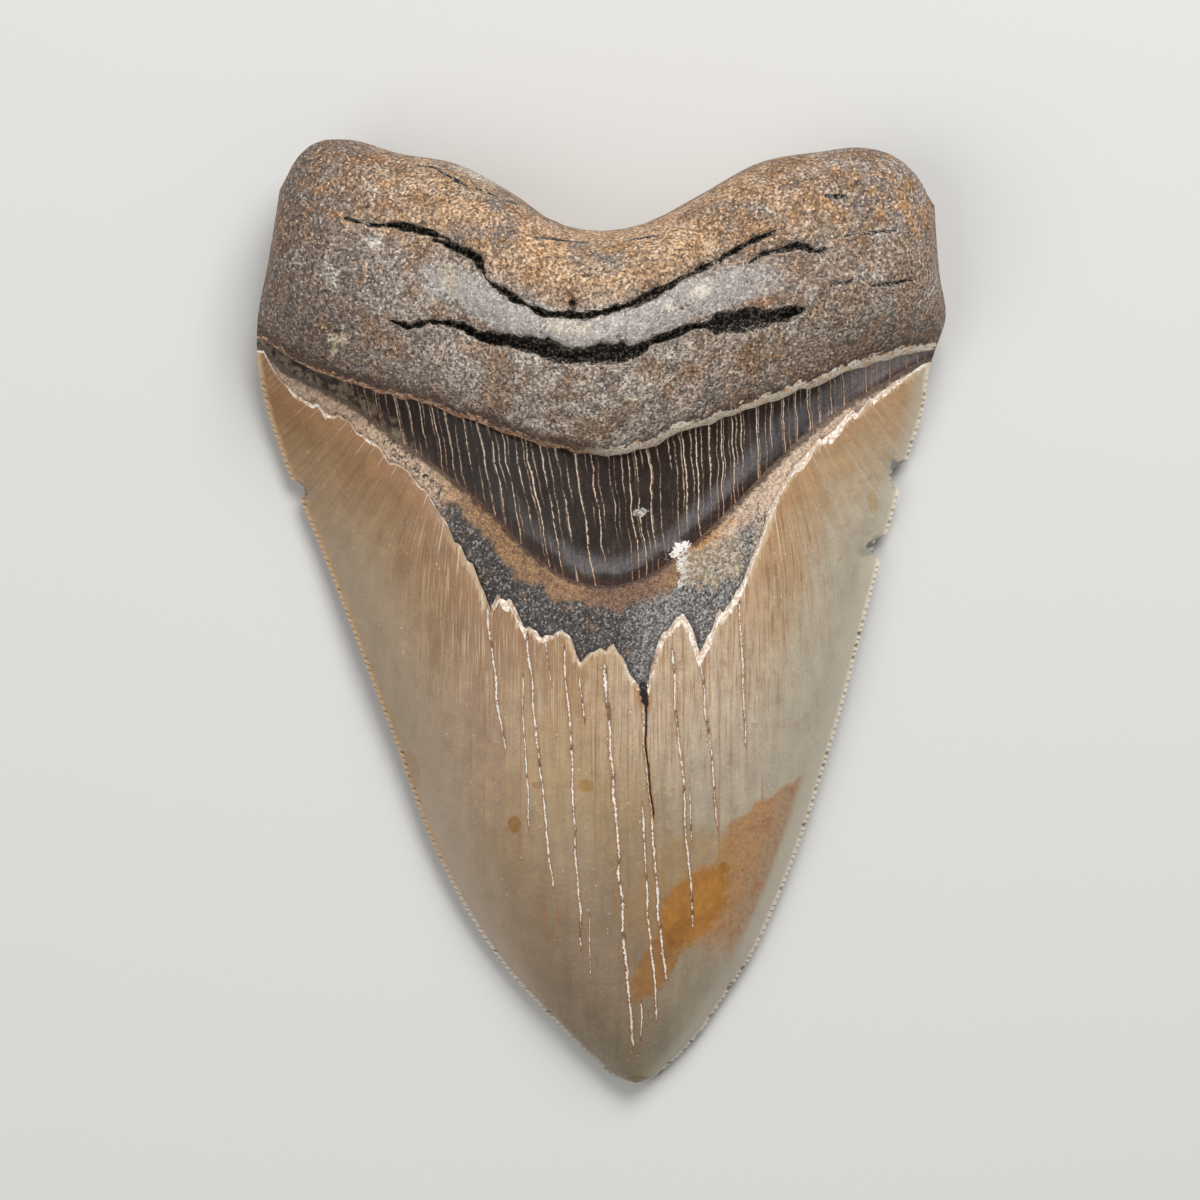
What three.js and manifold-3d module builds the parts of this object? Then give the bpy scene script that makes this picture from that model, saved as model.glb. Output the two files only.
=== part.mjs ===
// A fossil megalodon tooth: one solid, lying on its flat labial face with the lingual face up.
// Millimetres. +Y runs from the tip of the crown to the root and +Z is up. The origin is under the
// middle of the outline, on the surface that the tooth lies on.
import * as THREE from "three";
import { mergeVertices } from "three/addons/utils/BufferGeometryUtils.js";
import Module from "manifold-3d";

const { clamp, lerp, smoothstep } = THREE.MathUtils;

// Driving dimensions of the crown
const TIP = { x: 4.6, y: -60.3 };
const SHOULDER_Y = 31.5; // where the cutting edges end, under the root
const ENAMEL = 0.8; // height of the broken enamel edge over the dentine
const ENAMEL_FADE = 0.14; // share of the half width over which it runs out at the sides
const VALLEY = 1.3; // depth of the dark band between the enamel and the root
const VALLEY_FADE = 0.3;
const HOLLOW = 1.12; // over 1, the lingual face thins to a hollow towards its cutting edges
const FLAT_SHARE = 0.36; // share of the half width where the labial face is flat
const SERRATION_PITCH = 0.74;
const SERRATION_DEPTH = 0.36;

// Driving dimensions of the root
const LOBE_TOP_Y = 60.2;
const BOSS_HEIGHT = 26.5; // swelling in the middle of the root
const LOBE_HEIGHT = 18.5;
const BOSS_SHARE = 0.42; // share of the half width that the swelling takes
const LIP_STEP = 2.0; // the root's lower lip stands this far over the dark band
const LIP_RUN = 14; // from the lip to where the root has its full height
const LIP_ROUND = 1.6;
const LIP_FADE = 0.1;
const ROOT_ROUND = 9; // rounding of the root's edges on the lingual side
const LABIAL_ROUND = 6;
const LABIAL_STEP = 0.8; // the root lies this far behind the labial enamel
const ROOT_ARCH_RISE = 2; // the edge in the notch lies this much higher than at the lobes
const ROOT_ARCH_WIDTH = 15;
const ROOT_ARCH_FROM = 40;
const ROOT_ARCH_TO = 49;
const SWELL = 0.9; // the smooth swelling between the two long fissures
const SWELL_WIDTH = 2.6;
const SWELL_REACH = 24; // it fades out this far from the middle

// Driving dimensions of the mesh
const EDGE_INSET = 0.8; // from the outline to the first column of a face
const EDGE_INSET_SHARE = 0.4; // and at most this share of the half width, at the tip
const TOP_INSET = 0.5;
const TIP_INSET = 1.1;
const RISER_RUN = 0.16; // a ledge's foot lies this far out from its top
const LABIAL_RISER_RUN = 0.64;
const SIDE_SHARES = [0.925, 0.965, 0.986, 0.997, 1]; // columns that round the root's sides
const ROOT_EDGE_STEP = 2.6;
const CROWN_ROWS = 19;
const BAND_ROWS = 6;
const ROOT_ROWS = 15;
const LABIAL_COLUMNS = 30;
const LABIAL_CROWN_ROWS = 20;
const LABIAL_ROOT_ROWS = 10;

// The side edges, from the tip up to the lobes: [y, x].
const LEFT_EDGE = [
  [TIP.y, TIP.x],
  [-59.7, 3.1],
  [-57.1, -0.5],
  [-52, -6.1],
  [-46.9, -10.9],
  [-39.3, -16.4],
  [-31.6, -20.5],
  [-16.3, -26.3],
  [6.6, -35.1],
  [21.9, -41.3],
  [28, -43.1],
  [33, -43.7],
  [37.5, -43.5],
  [44, -42.2],
  [LOBE_TOP_Y, -39.6],
];
const RIGHT_EDGE = [
  [TIP.y, TIP.x],
  [-59.7, 6.3],
  [-57.9, 8.7],
  [-54.6, 12.2],
  [-49.5, 15.8],
  [-44.4, 19.2],
  [-36.7, 22.8],
  [-16.3, 29.8],
  [4.1, 35.2],
  [20, 39.6],
  [27, 41.6],
  [31.5, 42.1],
  [34, 42.9],
  [37.2, 43.9],
  [43, 43.1],
  [LOBE_TOP_Y, 42],
];

// The top of the root, from the left lobe to the right: [x, y].
const ROOT_TOP = [
  [-40.3, 55],
  [-38.8, 57.7],
  [-36.4, 59.7],
  [-33, LOBE_TOP_Y],
  [-25.5, 58.5],
  [-18, 57],
  [-10.2, 53],
  [-5, 49.8],
  [0, 48.8],
  [6, 49.8],
  [12.8, 53.2],
  [20.4, 57.3],
  [28, 58.7],
  [34, 59.3],
  [37.8, 58],
  [40.6, 55.8],
  [42.3, 52.4],
];

// The root's lower lip and the broken edge of the enamel, on the lingual face: [x, y].
const ROOT_LIP = [
  [-43.5, 34.9],
  [-41.2, 33.2],
  [-32, 29],
  [-22.5, 26.3],
  [-10.2, 21.9],
  [-2, 20],
  [3, 19.8],
  [10.5, 22.6],
  [20.9, 26.3],
  [30, 29.7],
  [37.6, 32.4],
  [42.4, 33.4],
];
const ENAMEL_LEDGE = [
  [-43.4, 33.4],
  [-41.3, 29.7],
  [-36.8, 26.4],
  [-33.7, 25.2],
  [-30.3, 22.4],
  [-28.1, 20.7],
  [-27.2, 18.9],
  [-24.9, 18.2],
  [-21.5, 15],
  [-18.4, 9.6],
  [-15.6, 6.6],
  [-14.2, 0.6],
  [-13.2, 2.2],
  [-11.3, 1.3],
  [-9.9, -1.4],
  [-7.5, -2.8],
  [-5, -2.3],
  [-3.5, -3.6],
  [-2.7, -6.5],
  [-1.7, -5],
  [1.9, -4.2],
  [3.5, -5.9],
  [4.8, -10.5],
  [6.2, -6.1],
  [7.6, -3.5],
  [10.6, -0.1],
  [11.7, -1.9],
  [12.9, -5],
  [13.8, -3.1],
  [15.3, 0.1],
  [16.8, 0.9],
  [18.2, 4],
  [20.7, 9.8],
  [22, 13.4],
  [23.7, 17.1],
  [28.9, 22.4],
  [34.6, 27],
  [40, 30.5],
  [42.1, 31.9],
];

// The crest of the swelling between the two long fissures, and the labial enamel's edge: [x, y].
const SWELL_CREST = [
  [-26, 42],
  [-19, 40.8],
  [-10, 36.2],
  [-3, 34.4],
  [4, 35.2],
  [12, 39],
  [26, 42.4],
];
const LABIAL_LINE = [
  [-43.4, 34.2],
  [-30, 33.4],
  [-12, 30.4],
  [0, 29],
  [12, 30.2],
  [30, 32.8],
  [42.3, 33],
];

// Heights over the surface below: the crown's lingual ridge and the outline's own edge: [y, z].
const RIDGE = [
  [TIP.y, 2.6],
  [-52, 7],
  [-40, 10.4],
  [-20, 14],
  [0, 15.8],
  [20, 16.6],
  [36, 16.8],
];
const EDGE_HEIGHT = [
  [TIP.y, 1.5],
  [-40, 2.2],
  [-10, 3.2],
  [SHOULDER_Y, 4.8],
  [36, 6.6],
  [46, 8.8],
  [LOBE_TOP_Y, 9.2],
];

// Fissures in the root: [x, y, width] along each, and how deep it goes.
const FISSURES = [
  {
    depth: 2.6,
    path: [
      [-32, 49.4, 0.3],
      [-29.5, 48.8, 0.6],
      [-25.5, 48.7, 1.1],
      [-20, 46.8, 1.6],
      [-16.8, 45, 1.3],
      [-14.6, 42, 1],
      [-9.9, 38.4, 1.1],
      [-6.8, 37, 1.1],
      [-2, 36.8, 1],
      [4.6, 38.6, 1.3],
      [10.7, 42, 1.5],
      [17.2, 45.4, 1.6],
      [20.3, 47, 1],
      [24, 48.5, 0.3],
    ],
  },
  {
    depth: 3.2,
    path: [
      [-26.2, 36.6, 0.3],
      [-23.9, 35.8, 0.8],
      [-21.4, 36.4, 0.7],
      [-18.6, 36.2, 1],
      [-14.4, 34.4, 1.7],
      [-9, 33.8, 1.6],
      [-3.8, 31.8, 2.3],
      [0.5, 32.2, 2.3],
      [4.2, 32.3, 1.9],
      [6.7, 33.7, 1],
      [11.5, 35.6, 0.8],
      [14.2, 36, 1.8],
      [19, 36.8, 2.3],
      [23.2, 37.4, 1.7],
      [25.4, 38, 0.4],
    ],
  },
  {
    depth: 1.6,
    path: [
      [17.8, 43.1, 0.3],
      [20.3, 44.8, 0.7],
      [24.6, 45.9, 1.2],
      [27.2, 45.2, 0.9],
      [29, 45.7, 0.3],
    ],
  },
  {
    depth: 1.4,
    path: [
      [-29, 56.9, 0.3],
      [-21.6, 56.1, 0.9],
      [-19.5, 54.8, 0.9],
      [-13, 52.5, 0.7],
      [-9.3, 50.7, 0.3],
    ],
  },
  {
    depth: 1.2,
    path: [
      [32.4, 40.5, 0.3],
      [36.1, 41.4, 0.8],
      [40.1, 41.7, 0.4],
    ],
  },
];
const FISSURE_TOP = 1.5; // a cutter reaches this far over the surface

// Chips out of the cutting edges and the small round pit in the left lobe.
const CHIPS = [
  { x: -39.2, y: 15, radius: 1.9 },
  { x: 39.3, y: 17.3, radius: 2 },
  { x: 36.9, y: 8.2, radius: 1.9 },
];
const PIT = { x: -33, y: 35.2, radius: 1.1 };

// A smooth curve through points [at, value], as a function.
function smooth(points) {
  const curve = new THREE.CubicInterpolant(
    points.map((point) => point[0]),
    points.map((point) => point[1]),
    1,
  );
  return (at) => curve.evaluate(clamp(at, points[0][0], points.at(-1)[0]))[0];
}

// The same points joined by straight lines, for a broken edge.
function broken(points) {
  const curve = new THREE.LinearInterpolant(
    points.map((point) => point[0]),
    points.map((point) => point[1]),
    1,
  );
  return (at) => curve.evaluate(clamp(at, points[0][0], points.at(-1)[0]))[0];
}

const leftEdge = smooth(LEFT_EDGE);
const rightEdge = smooth(RIGHT_EDGE);
const rootTop = smooth(ROOT_TOP);
const swellCrest = smooth(SWELL_CREST);
const ridge = smooth(RIDGE);
const edgeHeight = smooth(EDGE_HEIGHT);
const middle = (y) => (leftEdge(y) + rightEdge(y)) / 2;
const halfWidth = (y) => (rightEdge(y) - leftEdge(y)) / 2;

// How far across the tooth a point lies: -1 at the left edge, 0 in the middle, 1 at the right edge.
const across = (x, y) => (x - middle(y)) / halfWidth(y);
const byShare = (points) => points.map(([x, y]) => [across(x, y), y]);

const lip = smooth(byShare(ROOT_LIP));
const ledge = broken(byShare(ENAMEL_LEDGE));
const labialLine = smooth(byShare(LABIAL_LINE));
const topOf = (share) => rootTop(middle(LOBE_TOP_Y) + share * halfWidth(LOBE_TOP_Y));

// A quarter round: 0 at the edge, 1 from one radius in.
function quarterRound(distance, radius) {
  const left = 1 - clamp(distance / radius, 0, 1);
  return Math.sqrt(1 - left * left);
}

// The height of the outline, where the two faces meet.
function outlineHeight(x, y) {
  const arch = Math.exp(-((x / ROOT_ARCH_WIDTH) ** 2)) * smoothstep(y, ROOT_ARCH_FROM, ROOT_ARCH_TO);
  return edgeHeight(y) + ROOT_ARCH_RISE * arch;
}

// How far a root point has risen from the rounded outline, 0 to 1.
function rootRise(x, y, radius) {
  const side = halfWidth(y) - Math.abs(x - middle(y));
  return quarterRound(topOf(across(x, y)) - y, radius) * quarterRound(side, radius);
}

// Lingual face: the crown's core, the enamel on it, the dark band, and the root.
function core(x, y) {
  const share = clamp(Math.abs(across(x, y)), 0, 1);
  const edge = outlineHeight(x, y);
  return edge + (ridge(y) - edge) * (1 - share * share) ** HOLLOW;
}

function enamel(x, y) {
  const fade = smoothstep(1 - Math.abs(across(x, y)), 0, ENAMEL_FADE);
  return core(x, y) + ENAMEL * fade;
}

function band(x, y) {
  const share = across(x, y);
  const along = clamp((y - ledge(share)) / (lip(share) - ledge(share)), 0, 1);
  const fade = smoothstep(1 - Math.abs(share), 0, VALLEY_FADE);
  return core(x, y) - VALLEY * fade * Math.sin(Math.PI * along);
}

function root(x, y) {
  const share = across(x, y);
  const edge = outlineHeight(x, y);
  const boss = Math.exp(-((share / BOSS_SHARE) ** 2));
  const crest = lerp(LOBE_HEIGHT, BOSS_HEIGHT, boss);
  const swell = Math.exp(-(((y - swellCrest(x)) / SWELL_WIDTH) ** 2) - (x / SWELL_REACH) ** 2);
  const body = edge + (crest - edge) * rootRise(x, y, ROOT_ROUND) + SWELL * swell;
  const overLip = y - lip(share);
  const fade = smoothstep(1 - Math.abs(share), 0, LIP_FADE);
  const start = core(x, y) + LIP_STEP * fade * quarterRound(overLip, LIP_ROUND);
  const risen = Math.sin((Math.PI / 2) * clamp(overLip / LIP_RUN, 0, 1));
  return lerp(start, body, risen);
}

// Labial face: flat in the middle of the crown, with the root a little behind the enamel.
function labialCrown(x, y) {
  const bend = clamp((Math.abs(across(x, y)) - FLAT_SHARE) / (1 - FLAT_SHARE), 0, 1);
  return outlineHeight(x, y) * bend * bend;
}

function labialRoot(x, y) {
  const edge = outlineHeight(x, y);
  const body = edge - (edge - LABIAL_STEP) * rootRise(x, y, LABIAL_ROUND);
  return Math.max(body, labialCrown(x, y));
}

// Rows of a face. Each row gives its y for a column's share of the width, and its height there.
const steps = (count, from, to) => Array.from({ length: count }, (_, i) => lerp(from, to, i / (count - 1)));
const easeBoth = (t) => (1 - Math.cos(Math.PI * t)) / 2;
const between = (low, high, height) => (t) => ({ y: (share) => lerp(low(share), high(share), t), height });
const tipRow = () => TIP.y + TIP_INSET;
const topRow = (share) => topOf(share) - TOP_INSET;

const lingualRows = [
  ...steps(CROWN_ROWS, 0, 1).map(between(tipRow, ledge, enamel)),
  ...steps(BAND_ROWS, 0, 1).map(
    between((share) => ledge(share) + RISER_RUN, (share) => lip(share) - RISER_RUN, band),
  ),
  ...steps(ROOT_ROWS, 0, 1).map(easeBoth).map(between(lip, topRow, root)),
];
const labialRows = [
  ...steps(LABIAL_CROWN_ROWS, 0, 1).map(between(tipRow, labialLine, labialCrown)),
  ...steps(LABIAL_ROOT_ROWS, 0, 1)
    .map(easeBoth)
    .map(between((share) => labialLine(share) + LABIAL_RISER_RUN, topRow, labialRoot)),
];

// Columns of a face, as shares of the width. The lingual ones pass through each point of the ledge.
const sideShares = SIDE_SHARES.flatMap((share) => [-share, share]);
const ledgeShares = byShare(ENAMEL_LEDGE).map((point) => point[0]);
const lingualColumns = [...ledgeShares.slice(1, -1), ...sideShares].sort((a, b) => a - b);
const labialColumns = steps(LABIAL_COLUMNS, -Math.PI / 2, Math.PI / 2).map(Math.sin);

// Vertices and triangles of the whole tooth.
const vertices = [];
const triangles = [];
const addVertex = (x, y, z) => vertices.push(new THREE.Vector3(x, y, z)) - 1;

// One face as a grid of vertices. It returns the loop of its border, anticlockwise from the tip.
function addFace(rows, columns, facesUp) {
  const grid = rows.map((row) =>
    columns.map((share) => {
      const y = row.y(share);
      const half = halfWidth(y);
      const x = middle(y) + share * (half - Math.min(EDGE_INSET, EDGE_INSET_SHARE * half));
      return addVertex(x, y, row.height(x, y));
    }),
  );
  const lastRow = rows.length - 1;
  const lastColumn = columns.length - 1;
  for (let r = 0; r < lastRow; r++) {
    for (let c = 0; c < lastColumn; c++) {
      const [a, b, d, e] = [grid[r][c], grid[r][c + 1], grid[r + 1][c + 1], grid[r + 1][c]];
      addTriangle(a, b, d, facesUp);
      addTriangle(a, d, e, facesUp);
    }
  }
  return [
    ...grid[0].slice(lastColumn / 2),
    ...grid.slice(1, lastRow).map((row) => row[lastColumn]),
    ...grid[lastRow].toReversed(),
    ...grid.slice(1, lastRow).toReversed().map((row) => row[0]),
    ...grid[0].slice(0, lastColumn / 2),
  ];
}

function addTriangle(a, b, c, facesUp) {
  triangles.push(...(facesUp ? [a, b, c] : [a, c, b]));
}

// A strip of triangles between the outline and a face's border, always along the shorter diagonal.
function addRim(outer, inner, facesUp) {
  let o = 0;
  let i = 0;
  while (o < outer.length || i < inner.length) {
    const [a, nextA] = [outer[o % outer.length], outer[(o + 1) % outer.length]];
    const [b, nextB] = [inner[i % inner.length], inner[(i + 1) % inner.length]];
    const viaOuter = vertices[nextA].distanceTo(vertices[b]);
    const viaInner = vertices[nextB].distanceTo(vertices[a]);
    if (i === inner.length || (o < outer.length && viaOuter <= viaInner)) {
      addTriangle(a, nextA, b, facesUp);
      o++;
    } else {
      addTriangle(a, nextB, b, facesUp);
      i++;
    }
  }
}

// A cutting edge from the tip to the shoulder: every second point is a notch between two serrations.
function serratedEdge(edge, inward) {
  const points = [];
  const reach = 0.05;
  let y = TIP.y + SERRATION_PITCH;
  while (y < SHOULDER_Y) {
    const slope = (edge(y + reach) - edge(y - reach)) / (2 * reach);
    const length = Math.hypot(1, slope);
    const depth = points.length % 2 ? SERRATION_DEPTH : 0;
    const x = edge(y) + (inward * depth) / length;
    const notchY = y - (inward * slope * depth) / length;
    points.push(addVertex(x, notchY, outlineHeight(x, y)));
    y += SERRATION_PITCH / 2 / length;
  }
  return points;
}

// The smooth outline of the root, from one shoulder over the lobes to the other.
function rootSide(edge, topY) {
  const count = Math.ceil((topY - SHOULDER_Y) / ROOT_EDGE_STEP);
  const heights = steps(count, SHOULDER_Y + ROOT_EDGE_STEP / 2, topY);
  return heights.map((y) => addVertex(edge(y), y, outlineHeight(edge(y), y)));
}

function rootTopEdge() {
  const [from, to] = [ROOT_TOP[0][0], ROOT_TOP.at(-1)[0]];
  const count = Math.ceil((to - from) / ROOT_EDGE_STEP);
  const inner = steps(count, from, to).slice(1, -1);
  return inner.map((x) => addVertex(x, rootTop(x), outlineHeight(x, rootTop(x))));
}

// The outline runs anticlockwise from the tip, seen from above.
const outline = [
  addVertex(TIP.x, TIP.y, outlineHeight(TIP.x, TIP.y)),
  ...serratedEdge(rightEdge, -1),
  ...rootSide(rightEdge, ROOT_TOP.at(-1)[1]),
  ...rootTopEdge().toReversed(),
  ...rootSide(leftEdge, ROOT_TOP[0][1]).toReversed(),
  ...serratedEdge(leftEdge, 1).toReversed(),
];
addRim(outline, addFace(lingualRows, lingualColumns, true), true);
addRim(outline, addFace(labialRows, labialColumns, false), false);

// A V-shaped cutter along a fissure. Its ridge follows the root's surface at the fissure's depth.
function fissureCutter({ path, depth }) {
  const points = [];
  const faces = [];
  path.forEach(([x, y, width], i) => {
    const before = path[Math.max(i - 1, 0)];
    const after = path[Math.min(i + 1, path.length - 1)];
    const along = new THREE.Vector2(after[0] - before[0], after[1] - before[1]).normalize();
    const surface = root(x, y);
    const deep = depth * Math.min(1, width);
    const reach = (width / 2) * (1 + FISSURE_TOP / deep);
    points.push(x - along.y * reach, y + along.x * reach, surface + FISSURE_TOP);
    points.push(x, y, surface - deep);
    points.push(x + along.y * reach, y - along.x * reach, surface + FISSURE_TOP);
  });
  for (let at = 0; at + 3 < points.length / 3; at += 3) {
    for (const side of [0, 1, 2]) {
      const [a, b] = [at + side, at + ((side + 1) % 3)];
      faces.push(a, a + 3, b, b, a + 3, b + 3);
    }
  }
  const last = points.length / 3 - 3;
  faces.push(0, 1, 2, last, last + 2, last + 1);
  return solidOf(new Float32Array(points), faces);
}

// A ball that bites a chip out of an edge, or a pit out of the root.
function ballCutter(x, y, z, radius) {
  const ball = new THREE.IcosahedronGeometry(radius, 1).translate(x, y, z);
  ball.deleteAttribute("normal");
  ball.deleteAttribute("uv");
  const closed = mergeVertices(ball);
  return solidOf(closed.getAttribute("position").array, closed.getIndex().array);
}

const wasm = await Module();
wasm.setup();

function solidOf(vertProperties, faces) {
  return new wasm.Manifold(new wasm.Mesh({ numProp: 3, vertProperties, triVerts: new Uint32Array(faces) }));
}

const cutters = [
  ...FISSURES.map(fissureCutter),
  ...CHIPS.map(({ x, y, radius }) => ballCutter(x, y, outlineHeight(x, y), radius)),
  ballCutter(PIT.x, PIT.y, root(PIT.x, PIT.y), PIT.radius),
];
const blank = solidOf(new Float32Array(vertices.flatMap((v) => v.toArray())), triangles);
const carved = cutters.reduce((solid, cutter) => solid.subtract(cutter), blank).getMesh();

const geometry = new THREE.BufferGeometry();
geometry.setAttribute("position", new THREE.BufferAttribute(carved.vertProperties, carved.numProp));
geometry.setIndex(new THREE.BufferAttribute(carved.triVerts, 1));
geometry.computeVertexNormals();

const fossil = new THREE.MeshStandardMaterial({ color: 0x97816b, roughness: 0.45, metalness: 0 });
const tooth = new THREE.Mesh(geometry, fossil);
tooth.name = "tooth";

const megalodonTooth = new THREE.Group();
megalodonTooth.add(tooth);

export default megalodonTooth;
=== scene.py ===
import bpy
import numpy as np
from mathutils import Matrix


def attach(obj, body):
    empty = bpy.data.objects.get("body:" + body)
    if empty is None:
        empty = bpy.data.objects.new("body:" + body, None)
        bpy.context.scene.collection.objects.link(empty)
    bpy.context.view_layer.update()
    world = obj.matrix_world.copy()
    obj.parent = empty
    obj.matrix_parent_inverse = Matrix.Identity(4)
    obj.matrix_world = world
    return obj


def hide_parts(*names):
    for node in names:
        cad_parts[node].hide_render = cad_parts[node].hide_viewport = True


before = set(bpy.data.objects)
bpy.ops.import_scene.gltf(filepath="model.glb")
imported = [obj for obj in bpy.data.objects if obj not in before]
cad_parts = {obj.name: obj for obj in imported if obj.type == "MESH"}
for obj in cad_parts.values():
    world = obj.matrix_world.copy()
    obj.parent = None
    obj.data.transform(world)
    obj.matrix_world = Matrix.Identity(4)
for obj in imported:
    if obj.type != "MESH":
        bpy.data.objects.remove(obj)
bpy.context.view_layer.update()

MM = 0.001

# Sizes of the crown
TIP_X, TIP_Y = 4.6, -60.3
SHOULDER_Y = 31.5  # the serrations end here, under the root
ENAMEL = 0.8  # height of the broken enamel edge over the dentine
ENAMEL_FADE = 0.14  # share of the half width over which it runs out at the sides
VALLEY = 1.3  # depth of the dark band between the enamel and the root
VALLEY_FADE = 0.3
HOLLOW = 1.12  # over 1, the lingual face thins to a hollow towards its cutting edges
FLAT_SHARE = 0.36  # share of the half width where the labial face is flat
SERRATION_PITCH = 0.8
SERRATION_DEPTH = 0.45
SERRATION_SHARE = 0.7  # of the first column's inset, at most
SERRATION_MEAN = 0.75  # share of the full depth that most have
SERRATION_UNEVEN = 0.35
SERRATION_WANDER = 0.25  # share of the pitch by which they stray
SERRATION_FADE = 2  # they run out over this length under the shoulder

# Sizes of the root
LOBE_TOP_Y = 60.2
BOSS_HEIGHT = 26.5  # swelling in the middle of the root
LOBE_HEIGHT = 18.5
BOSS_SHARE = 0.42
LIP_STEP = 2.0  # the root's lower lip stands this far over the dark band
LIP_RUN = 14  # from the lip to where the root has its full height
LIP_ROUND = 1.2
LIP_FADE = 0.1
LIP_CALM = 4  # bumps of the root start this far over its lip
ROOT_ROUND = 9  # rounding of the root's edges on the lingual side
LABIAL_ROUND = 6
LABIAL_STEP = 0.8  # the root lies this far behind the labial enamel
LABIAL_SAG = 3.7  # the labial enamel line dips this far in the middle
ROOT_ARCH_RISE = 2  # the edge in the notch lies this much higher than at the lobes
ROOT_ARCH_WIDTH = 15
ROOT_ARCH_FROM = 40
ROOT_ARCH_TO = 49
SWELL = 0.9  # the smooth swelling between the two long fissures
SWELL_WIDTH = 2.6
SWELL_REACH = 24

# Rows and columns of the mesh
ENAMEL_ROWS = 180
RIM_ROWS = 4
DENTINE_ROWS = 22
BOURLETTE_ROWS = 30
ROOT_ROWS = 112
ROOT_EASE = 0.5  # how far the root's rows tighten towards its lip and its top
LABIAL_COLUMNS = 37
TOP_CUTS = 5  # cuts in each labial edge along the root's top, which has more lingual columns
EDGE_CUTS = 3  # cuts in each edge of the crown's outline, for the serrations
LINGUAL_COLUMNS = (LABIAL_COLUMNS - 1) * (TOP_CUTS + 1) + 1
EDGE_SAMPLES = 4000  # along a cutting edge, to measure its length
EVEN_SHARE = 0.85  # the rest of the columns' spacing tightens towards the sides
ON_EDGE = 0.05  # a point this near to a cutting edge belongs to it
WELD = 0.002  # the two faces meet closer than this along the outline
SHARP_DEGREES = 50
EDGE_INSET = 0.9  # from the outline to the first column inside it
EDGE_INSET_SHARE = 0.4  # and at most this share of the half width, at the tip

# The side edges, from the tip up to the lobes: (y, x).
LEFT_EDGE = [
    (TIP_Y, TIP_X), (-59.7, 2.7), (-57.1, -0.8), (-52, -6.1), (-46.9, -10.9), (-39.3, -16.4),
    (-31.6, -20.5), (-16.3, -26.3), (6.6, -35.1), (21.9, -41.3), (28, -43.1), (33, -43.7),
    (37.5, -43.5), (44, -42.2), (LOBE_TOP_Y, -39.6),
]
RIGHT_EDGE = [
    (TIP_Y, TIP_X), (-59.7, 6.6), (-57.9, 8.9), (-54.6, 12.2), (-49.5, 15.8), (-44.4, 19.2),
    (-36.7, 22.8), (-16.3, 29.8), (4.1, 35.2), (20, 39.6), (27, 41.6), (31.5, 42.1), (34, 42.9),
    (37.2, 43.9), (43, 43.1), (LOBE_TOP_Y, 42),
]

# The top of the root, from the left lobe to the right: (x, y).
ROOT_TOP = [
    (-39.6, 53.6), (-39.3, 55.4), (-38.6, 57.2), (-37.4, 58.8), (-35.6, 59.8), (-33, 60), (-25.5, 58.2),
    (-18, 56.8), (-10.2, 52.8), (-5, 49.4), (0, 48.3), (6, 49.2), (12.8, 52.8), (20.4, 57), (28, 58.4),
    (34, 58.9), (36.5, 58.3), (38.7, 57), (40.4, 55.2), (41.5, 53.2), (42, 51.6),
]

# Lines across the lingual face: (x, y). The dark band is the bourlette.
ROOT_LIP = [
    (-43.5, 34.9), (-41.2, 33.2), (-32, 29), (-22.5, 26.3), (-10.2, 21.9), (-2, 20), (3, 19.8),
    (10.5, 22.6), (20.9, 26.3), (30, 29.7), (37.6, 32.4), (42.4, 33.4),
]
BOURLETTE_FOOT = [
    (-43.4, 34.1), (-40.5, 31.1), (-36.8, 29.1), (-31.2, 26.1), (-25, 21.3), (-20.3, 18),
    (-14.4, 13.2), (-9.6, 8.2), (-5.1, 4.9), (0, 3.4), (5.1, 4.3), (9.8, 7.1), (13.6, 10.2),
    (18, 14.5), (22.3, 18.9), (26.8, 22.9), (31.9, 26.6), (37, 29.6), (42.2, 32.5),
]
ENAMEL_LEDGE = [
    (-43.4, 33.4), (-41.3, 29.7), (-36.8, 26.4), (-33.7, 25.2), (-30.3, 22.4), (-28.1, 20.7),
    (-27.2, 18.9), (-24.9, 18.2), (-21.8, 14.6), (-20.6, 12.4), (-19.5, 10.9), (-19.1, 9.2),
    (-17.9, 8.8), (-17.5, 7.3), (-16.3, 6.4), (-15.7, 4.4), (-14.7, 2.4), (-14.2, 0.6),
    (-13.2, 2.2), (-11.3, 1.3), (-9.9, -1.4), (-7.5, -2.8), (-5, -2.3), (-3.5, -3.6), (-2.7, -6.5),
    (-1.7, -5), (1.9, -4.2), (3.2, -6.1), (4.1, -8.3), (4.9, -9), (6.1, -8.7), (6.6, -6.1), (7.6, -3.5),
    (10.6, -0.1), (11.7, -1.9), (12.9, -5), (13.8, -3.1), (15.3, 0.1), (16.8, 0.9), (18.2, 4), (20.7, 9.8),
    (22, 13.4), (23.7, 17.1), (28.9, 22.4), (34.6, 27), (40, 30.5), (42.1, 31.9),
]
BAND_FOOT = [
    (-43.4, 33.4), (-36, 26), (-28, 20.5), (-20, 12.5), (-14, 3.5), (-7, -2.5), (0, -5), (5, -7),
    (10, -2.5), (16, 1), (20, 8), (24, 17.5), (34.6, 27), (42.1, 31.9),
]
SWELL_CREST = [(-26, 42), (-19, 40.8), (-10, 36.2), (-3, 34.4), (4, 35.2), (12, 39), (26, 42.4)]
RIM_WIDTH = [
    (-43.4, 0.3), (-30, 0.35), (-21, 0.3), (-18.5, 0.7), (-16, 0.8), (-13, 0.8), (-9, 0.35), (0, 0.3),
    (6, 0.5), (9, 0.9), (12, 0.7), (17, 1.3), (21, 1.3), (24, 0.6), (28, 0.7), (34, 0.7), (38, 0.5),
    (42.1, 0.3),
]
RIM_WIDEST = 2  # along Y, where the ledge runs nearly along it
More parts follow.
